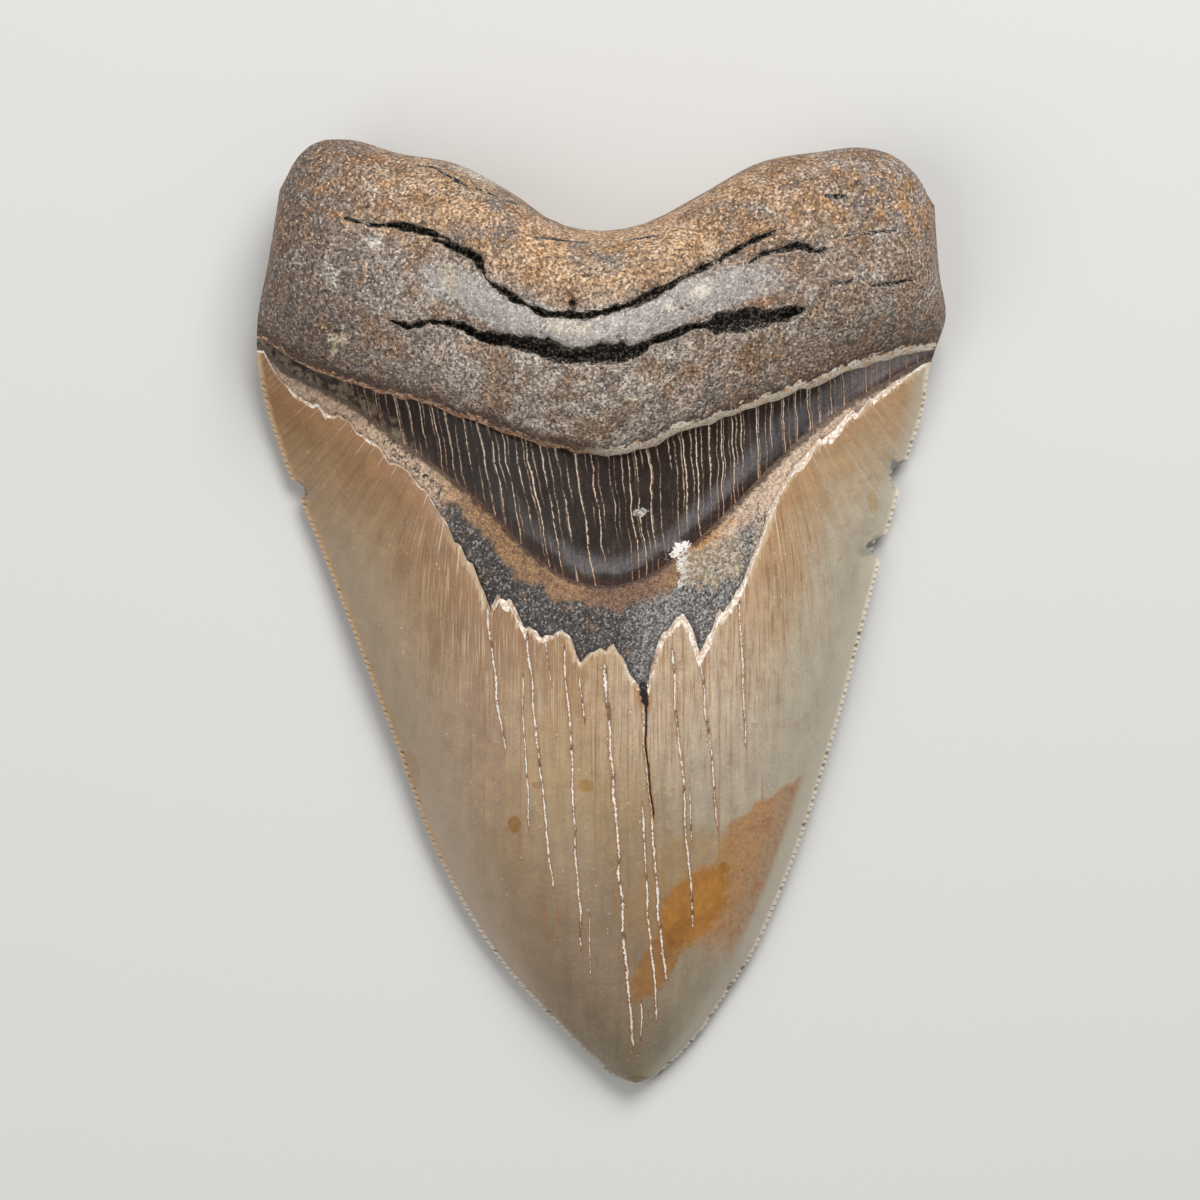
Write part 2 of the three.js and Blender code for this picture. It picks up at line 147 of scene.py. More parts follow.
RIM_STEEPEST = 3  # the rim is widened along Y by the slope of the ledge, up to this
RIM_WAVE = 0.6
RIM_STEP = 0.3
LEDGE_WAVE = 0.3
LEDGE_STEP = 0.4
LIP_WAVE = 0.25
ZONE_GAP = 0.2  # least distance between the lines of two zones
CROWN_HALF_WIDTH = 43  # along the ledge

# Heights over the floor: the crown's lingual ridge and the outline's own edge: (y, z).
RIDGE = [(TIP_Y, 2.6), (-52, 7), (-40, 10.4), (-20, 14), (0, 15.8), (20, 16.6), (36, 16.8)]
EDGE_HEIGHT = [
    (TIP_Y, 1.5), (-40, 2.2), (-10, 3.2), (SHOULDER_Y, 4.8), (36, 6.6), (46, 8.8), (LOBE_TOP_Y, 9.2),
]

# Fissures in the root: how deep each goes, and (x, y, width) along it.
FISSURES = [
    (2.4, [
        (-32, 49.4, 0.25), (-28.5, 48.5, 0.4), (-25.5, 48.5, 0.7), (-22.6, 47.8, 0.9), (-19.1, 46.6, 0.6),
    ]),
    (2.4, [
        (-20.8, 46.6, 0.7), (-17.6, 45.3, 0.9), (-15.3, 44.3, 0.9), (-14, 41.4, 0.7), (-10.2, 38.8, 0.8),
        (-7, 37.2, 0.9), (-2, 36.7, 0.7), (4.6, 38.4, 0.8), (10.7, 41.8, 0.8), (14, 43.4, 1),
        (17.2, 45.4, 1), (20.3, 47, 0.5), (24, 48.5, 0.2),
    ]),
    (3.2, [
        (-26.2, 36.6, 0.3), (-23.9, 35.8, 0.6), (-21.4, 36.4, 0.6), (-18.6, 36.2, 0.9), (-14.4, 34.4, 1.5),
        (-9, 33.6, 1.6), (-3.8, 31.8, 2.2), (0.5, 32.1, 2.4), (4.2, 32.3, 1.9), (6.7, 33.7, 0.9),
        (11.5, 35.6, 0.6), (13, 35.8, 0.8), (14.4, 36, 2), (19, 36.8, 2.3), (23.2, 37.4, 1.6),
        (25.4, 38, 0.4),
    ]),
    (1.6, [(17.8, 43.1, 0.2), (20.3, 44.8, 0.5), (24.6, 45.9, 0.9), (27.2, 45.2, 0.7), (29, 45.7, 0.2)]),
    (1.4, [
        (-24.2, 56.4, 0.1), (-20.8, 56, 0.35), (-18, 54.2, 0.3), (-17, 53.7, 0.15), (-13, 52.2, 0.2),
        (-10.6, 51.3, 0.3), (-6.4, 50, 0.1),
    ]),
    (1.2, [(33.2, 40.7, 0.2), (34.4, 41, 0.4), (37, 41.3, 0.35), (38.2, 41.6, 0.5), (39.9, 41.9, 0.2)]),
    (0.8, [(28.2, 52.2, 0.5), (30.8, 52.1, 0.6)]),
    (0.4, [(30.6, 47.2, 0.26), (37, 47.9, 0.3)]),
    (0.4, [(28.6, 41, 0.26), (31.8, 41.6, 0.3)]),
    (0.4, [(-9, 47, 0.18), (0, 46, 0.24), (8, 47.2, 0.18)]),
]
FISSURE_WIDTH_SHARE = 0.55  # half of a fissure's width, with a little for its crumbled lips
FISSURE_WOBBLE = 0.34
FISSURE_WALL = 0.7  # under 1, the walls are steeper towards the top
FISSURE_EDGE = 3  # fissures run out this far from the root's outline
FISSURE_DARK_REACH = 1.6  # the dark of a fissure reaches this many times as far as its walls

# Bites out of the cutting edges: (x, y, radius). Pits in the root: (x, y, radius, depth).
LEFT_CHIPS = [(-39.1, 15.6, 1.2)]
RIGHT_CHIPS = [(39.3, 17.3, 2), (36.9, 8.2, 1.9)]
CHIP_SCALLOPS = [(-38, 15.6, 1.8), (37, 17.4, 3.2), (34.6, 8.1, 3.6)]
CHIP_DEPTH = 0.5
SCALLOP_FADE = 1.5
CHIP_REACH = 8  # the columns give way to a bite as far in as this
PITS = [(-33, 35.2, 1.2, 0.9), (-3.4, 38.4, 0.6, 1.4), (-1.7, 41.9, 0.35, 0.5)]

# Lumps of the pale crust that sits on the dentine: (x, y, radius).
CRUST_LUMPS = [
    (10.1, 7.6, 1.6), (11.6, 6, 2), (13.6, 6.4, 2.4), (15.6, 7, 2.4), (16.2, 5.6, 1.8), (13.6, 4.4, 2),
    (11.2, 4, 1.4), (17, 8.8, 1.5),
]
CRUST_HEIGHT = 0.35
CRUST_RAGGED = 0.35

# Fine relief of each zone: height, size, how many times longer than wide, and seed of its lumps.
ENAMEL_WAVES = [(0.1, 5, 4, 11), (0.05, 2, 6, 12)]
BAND_WAVES = [(0.08, 3, 1, 21)]
DENTINE_LUMPS = [(0.12, 1.3, 1, 31), (0.1, 0.6, 1, 32)]
ROOT_BUMPS = [(0.4, 8, 1, 41), (0.2, 3.2, 1, 42), (0.08, 1.1, 1, 43)]
LABIAL_BUMPS = [(0.25, 6, 1, 61)]
LABIAL_BUMPS_UP = 0.2  # keeps the bumps off the floor
LABIAL_BUMPS_FADE = 8
RIM_CRUMBS = [(0.1, 0.7, 1, 81)]
RIM_CRUMBS_FADE = 3
RIM_FALL = 1.6  # over 1, the broken edge falls steeper towards its foot

# Growth lines of the enamel: upright in the middle, then fanning out.
GROWTH_MIDDLE_X = 2
GROWTH_UPRIGHT = 14  # the lines stand upright this far out
GROWTH_FAN = 16  # and lean in full this much farther out
GROWTH_LEAN = 0.06
GROWTH_CURL = 0.03
GROWTH_CURL_FROM = 4

# Zones of the lingual face, from the tip up. Each is a material slot of the mesh.
ENAMEL_ZONE, RIM_ZONE, DENTINE_ZONE, BOURLETTE_ZONE, ROOT_ZONE = range(5)
LUMP_KNOTS = 256
FAR_FROM_RIM = 30.0  # the labial face has no broken enamel


def smoothstep(value, low, high):
    t = np.clip((value - low) / (high - low), 0, 1)
    return t * t * (3 - 2 * t)


def smooth_curve(points):
    """A smooth curve through points (at, value), as a function."""
    at, value = np.array(points, float).T
    slope = np.gradient(value, at)

    def curve(where):
        where = np.clip(where, at[0], at[-1])
        left = np.clip(np.searchsorted(at, where, side="right") - 1, 0, len(at) - 2)
        span = at[left + 1] - at[left]
        t = (where - at[left]) / span
        rise = value[left + 1] - value[left]
        leaving = span * slope[left] * t * (1 - t) ** 2
        arriving = span * slope[left + 1] * t * t * (1 - t)
        return value[left] + rise * t * t * (3 - 2 * t) + leaving - arriving

    return curve


def broken_line(points):
    """The same points joined by straight lines."""
    at, value = np.array(points, float).T
    return lambda where: np.interp(where, at, value)


def stairs(x, size, seed):
    """Random steps from -1 to 1, each about size millimetres wide."""
    heights = np.random.default_rng(seed).uniform(-1, 1, LUMP_KNOTS)
    return heights[np.floor(x / size).astype(int) % LUMP_KNOTS]


def lumps(x, y, size, seed):
    """Smooth random lumps from -1 to 1, about size millimetres across."""
    knots = np.random.default_rng(seed).uniform(-1, 1, (LUMP_KNOTS, LUMP_KNOTS))
    column, row = np.floor(x / size).astype(int), np.floor(y / size).astype(int)
    right = smoothstep(x / size - column, 0, 1)
    up = smoothstep(y / size - row, 0, 1)

    def knot(i, j):
        return knots[(column + i) % LUMP_KNOTS, (row + j) % LUMP_KNOTS]

    low = knot(0, 0) + right * (knot(1, 0) - knot(0, 0))
    high = knot(0, 1) + right * (knot(1, 1) - knot(0, 1))
    return low + up * (high - low)


def fine_relief(x, y, layers):
    """Lumps of several sizes, laid over each other."""
    return sum(height * lumps(x, y / longer, size, seed) for height, size, longer, seed in layers)


def line_distance(x, y, points):
    """Distance to a line through points (x, y, ...), and the line's further values at the nearest place."""
    best = np.full(x.shape, np.inf)
    extra = np.zeros(x.shape)
    for start, end in zip(points[:-1], points[1:]):
        start, end = np.array(start, float), np.array(end, float)
        run = end[:2] - start[:2]
        t = np.clip(((x - start[0]) * run[0] + (y - start[1]) * run[1]) / (run @ run), 0, 1)
        distance = np.hypot(x - start[0] - t * run[0], y - start[1] - t * run[1])
        nearer = distance < best
        best = np.where(nearer, distance, best)
        extra = np.where(nearer, start[-1] + t * (end[-1] - start[-1]), extra)
    return best, extra


def chipped(edge, chips, inward):
    """An edge with round bites out of it. inward is 1 for the left edge and -1 for the right."""
    def outline(y):
        x = edge(y)
        for chip_x, chip_y, radius in chips:
            square = radius**2 - (y - chip_y) ** 2
            bite = chip_x + inward * np.sqrt(np.clip(square, 0, None))
            x = np.where((square > 0) & (inward * (bite - x) > 0), bite, x)
        return x

    return outline


left_edge = smooth_curve(LEFT_EDGE)
right_edge = smooth_curve(RIGHT_EDGE)
left_outline = chipped(left_edge, LEFT_CHIPS, 1)
right_outline = chipped(right_edge, RIGHT_CHIPS, -1)
root_top = smooth_curve(ROOT_TOP)
swell_crest = smooth_curve(SWELL_CREST)
ridge = smooth_curve(RIDGE)
edge_height = smooth_curve(EDGE_HEIGHT)
rim_width = smooth_curve(RIM_WIDTH)


def middle(y):
    return (left_edge(y) + right_edge(y)) / 2


def half_width(y):
    return (right_edge(y) - left_edge(y)) / 2


def across(x, y):
    """-1 at the left edge, 0 in the middle, 1 at the right edge."""
    return np.clip((x - middle(y)) / np.maximum(half_width(y), 0.01), -1, 1)


def by_share(points):
    """Points (x, y) as (share of the width, y)."""
    return [(float(across(x, y)), y) for x, y in points]


lip = smooth_curve(by_share(ROOT_LIP))
bourlette_foot = smooth_curve(by_share(BOURLETTE_FOOT))
band_foot = smooth_curve(by_share(BAND_FOOT))
ledge = broken_line(by_share(ENAMEL_LEDGE))


def top_of(share):
    return root_top(middle(LOBE_TOP_Y) + share * half_width(LOBE_TOP_Y))


def quarter_round(distance, radius):
    """0 at an edge, 1 from one radius in."""
    left = 1 - np.clip(distance / radius, 0, 1)
    return np.sqrt(1 - left * left)


def outline_height(x, y):
    arch = np.exp(-((x / ROOT_ARCH_WIDTH) ** 2)) * smoothstep(y, ROOT_ARCH_FROM, ROOT_ARCH_TO)
    return edge_height(y) + ROOT_ARCH_RISE * arch


def side_distance(x, y):
    return np.clip(half_width(y) - np.abs(x - middle(y)), 0, None)


def root_rise(x, y, radius):
    """How far a root point has risen from the rounded outline, 0 to 1."""
    from_top = top_of(across(x, y)) - y
    return quarter_round(from_top, radius) * quarter_round(side_distance(x, y), radius)


def core(x, y):
    share = across(x, y)
    edge = outline_height(x, y)
    return edge + (ridge(y) - edge) * (1 - share * share) ** HOLLOW


def enamel_height(x, y):
    inside = smoothstep(1 - np.abs(across(x, y)), 0, ENAMEL_FADE)
    scallop = 0
    for chip_x, chip_y, radius in CHIP_SCALLOPS:
        away = np.hypot(x - chip_x, y - chip_y) / radius
        scallop = scallop + CHIP_DEPTH * np.clip(1 - away * away, 0, None)
    from_edge = smoothstep(side_distance(x, y), 0, SCALLOP_FADE)
    return core(x, y) + (ENAMEL + fine_relief(x, y, ENAMEL_WAVES)) * inside - scallop * from_edge


def band_height(x, y):
    """The dark band and the dentine between it and the enamel."""
    share = across(x, y)
    along = np.clip((y - band_foot(share)) / np.maximum(lip(share) - band_foot(share), 0.1), 0, 1)
    inside = smoothstep(1 - np.abs(share), 0, VALLEY_FADE)
    relief = fine_relief(x, y, BAND_WAVES) + CRUST_HEIGHT * crust_at(x, y)
    return core(x, y) + inside * (relief - VALLEY * np.sin(np.pi * along))


def crust_at(x, y):
    """How thick the pale mineral crust on the dentine is at a point, 0 to 1."""
    crust = np.zeros(np.shape(x))
    for crust_x, crust_y, radius in CRUST_LUMPS:
        away = np.hypot(x - crust_x, y - crust_y) / radius + CRUST_RAGGED * lumps(x, y, 0.9, 33)
        crust = np.maximum(crust, np.clip(1 - away * away, 0, 1))
    return crust


def dentine_height(x, y):
    inside = smoothstep(1 - np.abs(across(x, y)), 0, VALLEY_FADE)
    return band_height(x, y) + inside * fine_relief(x, y, DENTINE_LUMPS)


def root_height(x, y):
    share = across(x, y)
    edge = outline_height(x, y)
    crest = LOBE_HEIGHT + (BOSS_HEIGHT - LOBE_HEIGHT) * np.exp(-((share / BOSS_SHARE) ** 2))
    rise = root_rise(x, y, ROOT_ROUND)
    body = edge + (crest - edge) * rise + SWELL * swell_at(x, y)
    over_lip = y - lip(share)
    inside = smoothstep(1 - np.abs(share), 0, LIP_FADE)
    start = core(x, y) + LIP_STEP * inside * quarter_round(over_lip, LIP_ROUND)
    risen = np.sin(np.pi / 2 * np.clip(over_lip / LIP_RUN, 0, 1))
    bumpy = np.minimum(rise, smoothstep(over_lip, 0, LIP_CALM))
    return start + (body - start) * risen + fine_relief(x, y, ROOT_BUMPS) * bumpy


def swell_at(x, y):
    return np.exp(-(((y - swell_crest(x)) / SWELL_WIDTH) ** 2) - (x / SWELL_REACH) ** 2)


def fissure_depth(x, y):
    """How deep the fissures and pits cut at a point, and how dark it is there, 0 to 1."""
    cut = np.zeros(x.shape)
    dark = np.zeros(x.shape)
    wobble = FISSURE_WOBBLE * (lumps(x, y, 0.9, 51) + 0.7 * lumps(x, y, 2.2, 52))
    for depth, path in FISSURES:
        distance, width = line_distance(x, y, path)
        reach = FISSURE_WIDTH_SHARE * width
        narrow = np.minimum(width, 1)
        away = (distance + wobble * narrow) / reach
        cut = np.maximum(cut, depth * narrow * np.clip(1 - away, 0, 1) ** FISSURE_WALL)
        dark = np.maximum(dark, np.clip(1 - away / FISSURE_DARK_REACH, 0, 1))
    for pit_x, pit_y, radius, depth in PITS:
        away = np.hypot(x - pit_x, y - pit_y) / radius
        cut = np.maximum(cut, depth * np.clip(1 - away * away, 0, None))
    return cut, dark


def labial_crown(x, y):
    bend = np.clip((np.abs(across(x, y)) - FLAT_SHARE) / (1 - FLAT_SHARE), 0, 1)
    return outline_height(x, y) * bend * bend


def labial_root(x, y):
    edge = outline_height(x, y)
    body = edge - (edge - LABIAL_STEP) * root_rise(x, y, LABIAL_ROUND)
    from_top = smoothstep(top_of(across(x, y)) - y, 0, LABIAL_BUMPS_FADE)
    inside = smoothstep(side_distance(x, y), 0, LABIAL_BUMPS_FADE) * from_top
    bumps = fine_relief(x, y, LABIAL_BUMPS) + LABIAL_BUMPS_UP
    return np.maximum(body, labial_crown(x, y)) + inside * bumps


def zone_curves(shares):
    """Where each zone of the lingual face starts along every column, from the tip to the root's top."""
    x = shares * CROWN_HALF_WIDTH
    flat = shares * 0
    jagged = LEDGE_WAVE * lumps(x, flat, 1.4, 71) + LEDGE_STEP * stairs(x, 0.9, 72)
    inside = smoothstep(1 - np.abs(shares), 0, ENAMEL_FADE)
    edge = ledge(shares) + jagged * inside
    steep = np.minimum(np.hypot(1, np.gradient(edge, x)), RIM_STEEPEST)
    uneven = 1 + RIM_WAVE * lumps(x, flat, 1.7, 74) + RIM_STEP * stairs(x, 0.6, 75)
    rim = np.minimum(rim_width(x) * uneven * steep, RIM_WIDEST)
    ragged_lip = lip(shares) + LIP_WAVE * inside * lumps(x, flat, 1.4, 73)
    foot = np.maximum(bourlette_foot(shares), edge + ZONE_GAP)
    foot = np.minimum(foot, ragged_lip - ZONE_GAP)
    return [np.full(shares.shape, TIP_Y), edge - rim, edge, foot, ragged_lip, top_of(shares)]


def labial_curves(shares):
    """The same for the labial face. Its rows meet the lingual ones at the outline."""
    ends = [(curve[0], curve[-1]) for curve in zone_curves(np.array(column_shares(LINGUAL_COLUMNS)))]
    t = (shares + 1) / 2
    sag = LABIAL_SAG * (1 - shares * shares)
    level = [left + t * (right - left) - sag for left, right in ends[1:-1]]
    return [np.full(shares.shape, TIP_Y), *level, top_of(shares)]


def column_shares(count):
    """Shares of the half width, a little closer together towards the sides."""
    even = np.linspace(-1, 1, count)
    return EVEN_SHARE * even + (1 - EVEN_SHARE) * np.sin(np.pi / 2 * even)


def row_steps():
    """For every row its zone and how far through that zone it lies."""
    zones = []
    steps = []
    counts = [ENAMEL_ROWS, RIM_ROWS, DENTINE_ROWS, BOURLETTE_ROWS, ROOT_ROWS]
    for zone, count in enumerate(counts):
        last = zone == ROOT_ZONE
        t = np.linspace(0, 1, count, endpoint=last)
        if last:
            eased = (1 - np.cos(np.pi * t)) / 2
            t = ROOT_EASE * eased + (1 - ROOT_EASE) * t
        zones.extend([zone] * count)
        steps.extend(t)
    return np.array(zones), np.array(steps)


def place_columns(shares, y):
    """x of every grid point: the outer columns on the outline, the rest from the inset inwards."""
    half = half_width(y)
    inset = np.minimum(EDGE_INSET, EDGE_INSET_SHARE * half)
    inner = shares / column_shares(LINGUAL_COLUMNS)[-2]
    x = middle(y) + inner[None, :] * (half - inset)
    x[:, 0] = left_edge(y[:, 0])
    x[:, -1] = right_edge(y[:, -1])
    from_left = np.clip(1 - (x - left_edge(y)) / CHIP_REACH, 0, 1)
    from_right = np.clip(1 - (right_edge(y) - x) / CHIP_REACH, 0, 1)
    pushed_right = from_left * (left_outline(y) - left_edge(y))
    pushed_left = from_right * (right_edge(y) - right_outline(y))
    return x + pushed_right - pushed_left


def growth_line(x, y):
    """A number that stays the same along each growth line: upright in the middle, fanning outwards."""
    offset = x - GROWTH_MIDDLE_X
    away = np.abs(offset)
    lean = GROWTH_LEAN * y + GROWTH_CURL * np.clip(y - GROWTH_CURL_FROM, 0, None) ** 2
    return np.sign(offset) * (away + np.clip((away - GROWTH_UPRIGHT) / GROWTH_FAN, 0, None) * lean)


def add_grid(name, columns, rows):
    """A flat grid of one unit, with the column and row of every vertex."""
    bpy.ops.object.select_all(action="DESELECT")
    bpy.ops.mesh.primitive_grid_add(x_subdivisions=columns - 1, y_subdivisions=rows - 1, size=1)
    grid = bpy.context.object
    grid.name = name
    flat = np.empty(len(grid.data.vertices) * 3)
    grid.data.vertices.foreach_get("co", flat)
    flat = flat.reshape(-1, 3)
    column = np.rint((flat[:, 0] + 0.5) * (columns - 1)).astype(int)
    row = np.rint((flat[:, 1] + 0.5) * (rows - 1)).astype(int)
    return grid, column, row


def set_attribute(mesh, name, values):
    layer = mesh.attributes.new(name, "FLOAT", "POINT")
    layer.data.foreach_set("value", np.asarray(values, np.float32))


def shape_face(name, shares, curves, lingual, finishes):
    """One face of the tooth: a grid, moved to its shape, with its zones and what its finishes read."""
    zones, steps = row_steps()
    grid, column, row = add_grid(name, len(shares), len(zones))
    curves = np.array(curves)
    y = curves[zones] + steps[:, None] * (curves[zones + 1] - curves[zones])
    x = place_columns(shares, y)
    if lingual:
        z, dark = lingual_height(x, y, zones, steps)
    else:
        dark = np.zeros(x.shape)
        z = np.where((zones < DENTINE_ZONE)[:, None], labial_crown(x, y), labial_root(x, y))
    side_x, side_y = x[:, [0, -1]], y[:, [0, -1]]
    broken = (enamel_height(side_x, side_y) + labial_crown(side_x, side_y)) / 2
    crown = (zones < DENTINE_ZONE)[:, None]
    z[:, [0, -1]] = np.where(crown, broken, outline_height(side_x, side_y))
    z[-1] = outline_height(x[-1], y[-1])
    x[0], y[0], z[0] = TIP_X, TIP_Y, outline_height(np.array(TIP_X), np.array(TIP_Y))
    points = np.stack([x, y, z], axis=-1)[row, column]
    mesh = grid.data
    mesh.vertices.foreach_set("co", (points * MM).ravel())
    values = face_values(x, y, curves, dark, lingual)
    outline = np.zeros(x.shape)
    outline[zones < DENTINE_ZONE, 0] = 1
    outline[zones < DENTINE_ZONE, -1] = 1
    values["outline"] = outline
    for key, grid_values in values.items():
        set_attribute(mesh, key, grid_values[row, column])
    for finish in finishes:
        mesh.materials.append(finish)
    set_zones(mesh, zones, row, lingual)
    return grid


def lingual_height(x, y, zones, steps):
    z = np.empty(x.shape)
    heights = {
        ENAMEL_ZONE: enamel_height, DENTINE_ZONE: dentine_height,
        BOURLETTE_ZONE: band_height, ROOT_ZONE: root_height,
    }
    for zone, height in heights.items():
        rows = zones == zone
        z[rows] = height(x[rows], y[rows])
    rim = zones == RIM_ZONE
    fall = (steps[rim] ** RIM_FALL)[:, None]
    z[rim] = (1 - fall) * enamel_height(x[rim], y[rim]) + fall * dentine_height(x[rim], y[rim])
    from_edge = smoothstep(side_distance(x[rim], y[rim]), 0, RIM_CRUMBS_FADE)
    z[rim] += fine_relief(x[rim], y[rim], RIM_CRUMBS) * from_edge
    cut, dark = fissure_depth(x, y)
    root = zones == ROOT_ZONE
    z[root] -= cut[root] * root_rise(x[root], y[root], FISSURE_EDGE)
    dark[~root] = 0
    return z, dark


def face_values(x, y, curves, dark, lingual):
    """What the finishes read at each point, in millimetres or as shares."""
    share = across(x, y)
    if lingual:
        edge_line = list(zip(place_columns_on(curves[2]), curves[2]))
        foot_line = list(zip(place_columns_on(curves[3]), curves[3]))
        lip_line = list(zip(place_columns_on(curves[4]), curves[4]))
        rim = line_distance(x, y, edge_line)[0]
        foot = line_distance(x, y, foot_line)[0] * np.sign(curves[3] - y)
        over_lip = line_distance(x, y, lip_line)[0]
    else:
        rim = np.full(x.shape, FAR_FROM_RIM)
        foot = np.zeros(x.shape)
        over_lip = np.abs(y - curves[2])
    return {
        "rim_mm": rim,
        "foot_mm": foot,
        "lip_mm": over_lip,
        "edge_mm": side_distance(x, y),
        "growth_mm": growth_line(x, y),
        "fissure": dark,
        "crest_mm": y - swell_crest(x),
        "crust": crust_at(x, y) * lingual,
        "notch": np.zeros(x.shape),
        "lingual": np.full(x.shape, float(lingual)),
    }


def place_columns_on(curve):
    shares = column_shares(len(curve))
    return middle(curve) + shares * half_width(curve)


def set_zones(mesh, zones, row, lingual):
    """Gives each face the material of the zone that its lower row lies in."""
    first = np.empty(len(mesh.polygons), int)
    mesh.polygons.foreach_get("loop_start", first)
    corner = np.empty(len(mesh.loops), int)
    mesh.loops.foreach_get("vertex_index", corner)
    lowest = np.min([row[corner[first + i]] for i in range(4)], axis=0)
    zone = zones[lowest]
    if not lingual:
        zone = np.where(zone < DENTINE_ZONE, ENAMEL_ZONE, ROOT_ZONE)
    mesh.polygons.foreach_set("material_index", zone)


def points_of(mesh):
    flat = np.empty(len(mesh.vertices) * 3)
    mesh.vertices.foreach_get("co", flat)
    return flat.reshape(-1, 3)


def values_of(mesh, name):
    values = np.empty(len(mesh.vertices), np.float32)
    mesh.attributes[name].data.foreach_get("value", values)
    return values


def cut_edges(piece, chosen, cuts):
    """Subdivides the edges whose two ends are both chosen."""
    mesh = piece.data
    ends = np.empty(len(mesh.edges) * 2, int)
    mesh.edges.foreach_get("vertices", ends)
    ends = ends.reshape(-1, 2)
    bpy.context.view_layer.objects.active = piece
    bpy.ops.object.mode_set(mode="EDIT")
    bpy.ops.mesh.select_mode(type="EDGE")
    bpy.ops.mesh.select_all(action="DESELECT")
    bpy.ops.object.mode_set(mode="OBJECT")
    mesh.edges.foreach_set("select", chosen[ends[:, 0]] & chosen[ends[:, 1]])
    bpy.ops.object.mode_set(mode="EDIT")
    bpy.ops.mesh.subdivide(number_cuts=cuts)
    bpy.ops.object.mode_set(mode="OBJECT")


def match_top(labial, lingual):
    """Gives the labial face as many points along the root's top as the lingual one, in the same places."""
    top_row = np.zeros(len(labial.data.vertices), bool)
    top_row[-LABIAL_COLUMNS:] = True
    set_attribute(labial.data, "top", top_row)
    cut_edges(labial, top_row, TOP_CUTS)
    chosen = np.flatnonzero(values_of(labial.data, "top") > 0.99)
    points = points_of(labial.data)
    wanted = points_of(lingual.data)[-LINGUAL_COLUMNS:]
    points[chosen[np.argsort(points[chosen, 0])]] = wanted[np.argsort(wanted[:, 0])]
    labial.data.vertices.foreach_set("co", points.ravel())


def edge_length(edge):
    """The length along a cutting edge from the tip, as a function of y."""
    y = np.linspace(TIP_Y, SHOULDER_Y + 5, EDGE_SAMPLES)
    steps = np.hypot(np.diff(edge(y)), np.diff(y))
    length = np.concatenate([[0], np.cumsum(steps)])
    return lambda where: np.interp(where, y, length)


def cut_serrations(tooth):
    """Cuts a row of round serrations into both edges of the crown."""
    on_edge = values_of(tooth.data, "outline") > 0.99
    cut_edges(tooth, on_edge, EDGE_CUTS)
    mesh = tooth.data
    points = points_of(mesh) / MM
    chosen = np.flatnonzero(values_of(mesh, "outline") > 0.99)
    x, y = points[chosen, 0], points[chosen, 1]
    notch = values_of(mesh, "notch")
    for edge, inward in ((left_outline, 1), (right_outline, -1)):
        side = np.abs(x - edge(y)) < ON_EDGE
        along = edge_length(edge)(y[side])
        phase = along / SERRATION_PITCH + SERRATION_WANDER * lumps(along, along * 0, 6, 91 + inward)
        bump = np.sqrt(np.clip(1 - (2 * (phase % 1) - 1) ** 2, 0, 1))
        uneven = SERRATION_MEAN + SERRATION_UNEVEN * lumps(along, along * 0, 2.3, 95 + inward)
        inset = np.minimum(EDGE_INSET, EDGE_INSET_SHARE * half_width(y[side]))
        depth = np.minimum(SERRATION_DEPTH * uneven, SERRATION_SHARE * inset)
        below_shoulder = smoothstep(SHOULDER_Y - y[side], 0, SERRATION_FADE)
        points[chosen[side], 0] = x[side] + inward * depth * below_shoulder * (1 - bump)
        notch[chosen[side]] = (1 - bump) * below_shoulder
    mesh.vertices.foreach_set("co", (points * MM).ravel())
    mesh.attributes["notch"].data.foreach_set("value", notch)


def make_tooth(finishes):
    lingual_shares = column_shares(LINGUAL_COLUMNS)
    labial_shares = column_shares(LABIAL_COLUMNS)
    lingual = shape_face("lingual_face", lingual_shares, zone_curves(lingual_shares), True, finishes)
    labial = shape_face("labial_face", labial_shares, labial_curves(labial_shares), False, finishes)
    match_top(labial, lingual)
    bpy.ops.object.mode_set(mode="EDIT")
    bpy.ops.mesh.select_all(action="SELECT")
    bpy.ops.mesh.flip_normals()
    bpy.ops.object.mode_set(mode="OBJECT")
    bpy.ops.object.select_all(action="DESELECT")
    labial.select_set(True)
    lingual.select_set(True)
    bpy.context.view_layer.objects.active = lingual
    bpy.ops.object.join()
    tooth = bpy.context.object
    tooth.name = "fossil_tooth"
    bpy.ops.object.mode_set(mode="EDIT")
    bpy.ops.mesh.select_all(action="SELECT")
    bpy.ops.mesh.remove_doubles(threshold=WELD * MM)
    bpy.ops.object.mode_set(mode="OBJECT")
    cut_serrations(tooth)
    bpy.ops.object.shade_smooth_by_angle(angle=np.radians(SHARP_DEGREES))
    return tooth


# Finishes. Patterns are set in millimetres on the object's own coordinates.
FACTOR, UNDER, OVER, MIXED = 0, 6, 7, 2  # sockets of a Mix node that mixes colours
GRAIN_MM = 0.32  # grains of the porous root
DENTINE_GRAIN_MM = 0.28
CRACK_SPACING_MM = 1.6  # between the cracks that cross the dark band
STREAK_MM = 0.27  # half of the spacing of the enamel's growth lines
STREAK_LENGTH_MM = 7
# The growth lines, finer pale ones, broad ones, long rusty runs and bands: width, length and detail.
STREAKS = [
    (STREAK_MM, STREAK_LENGTH_MM, 2), (STREAK_MM * 0.6, STREAK_LENGTH_MM, 2),
    (STREAK_MM * 4, STREAK_LENGTH_MM * 2, 2), (STREAK_MM, STREAK_LENGTH_MM * 1.5, 2), (1.4, 9, 3),
]
FIBRE_MM = 0.28  # fibres in the broken edge of the enamel
RUST_SPACING_MM = 1.8  # between the rusty seams along the enamel's growth lines
SPLINTER_SPACING_MM = 3.4  # between the short splits that run from the broken edge into the enamel

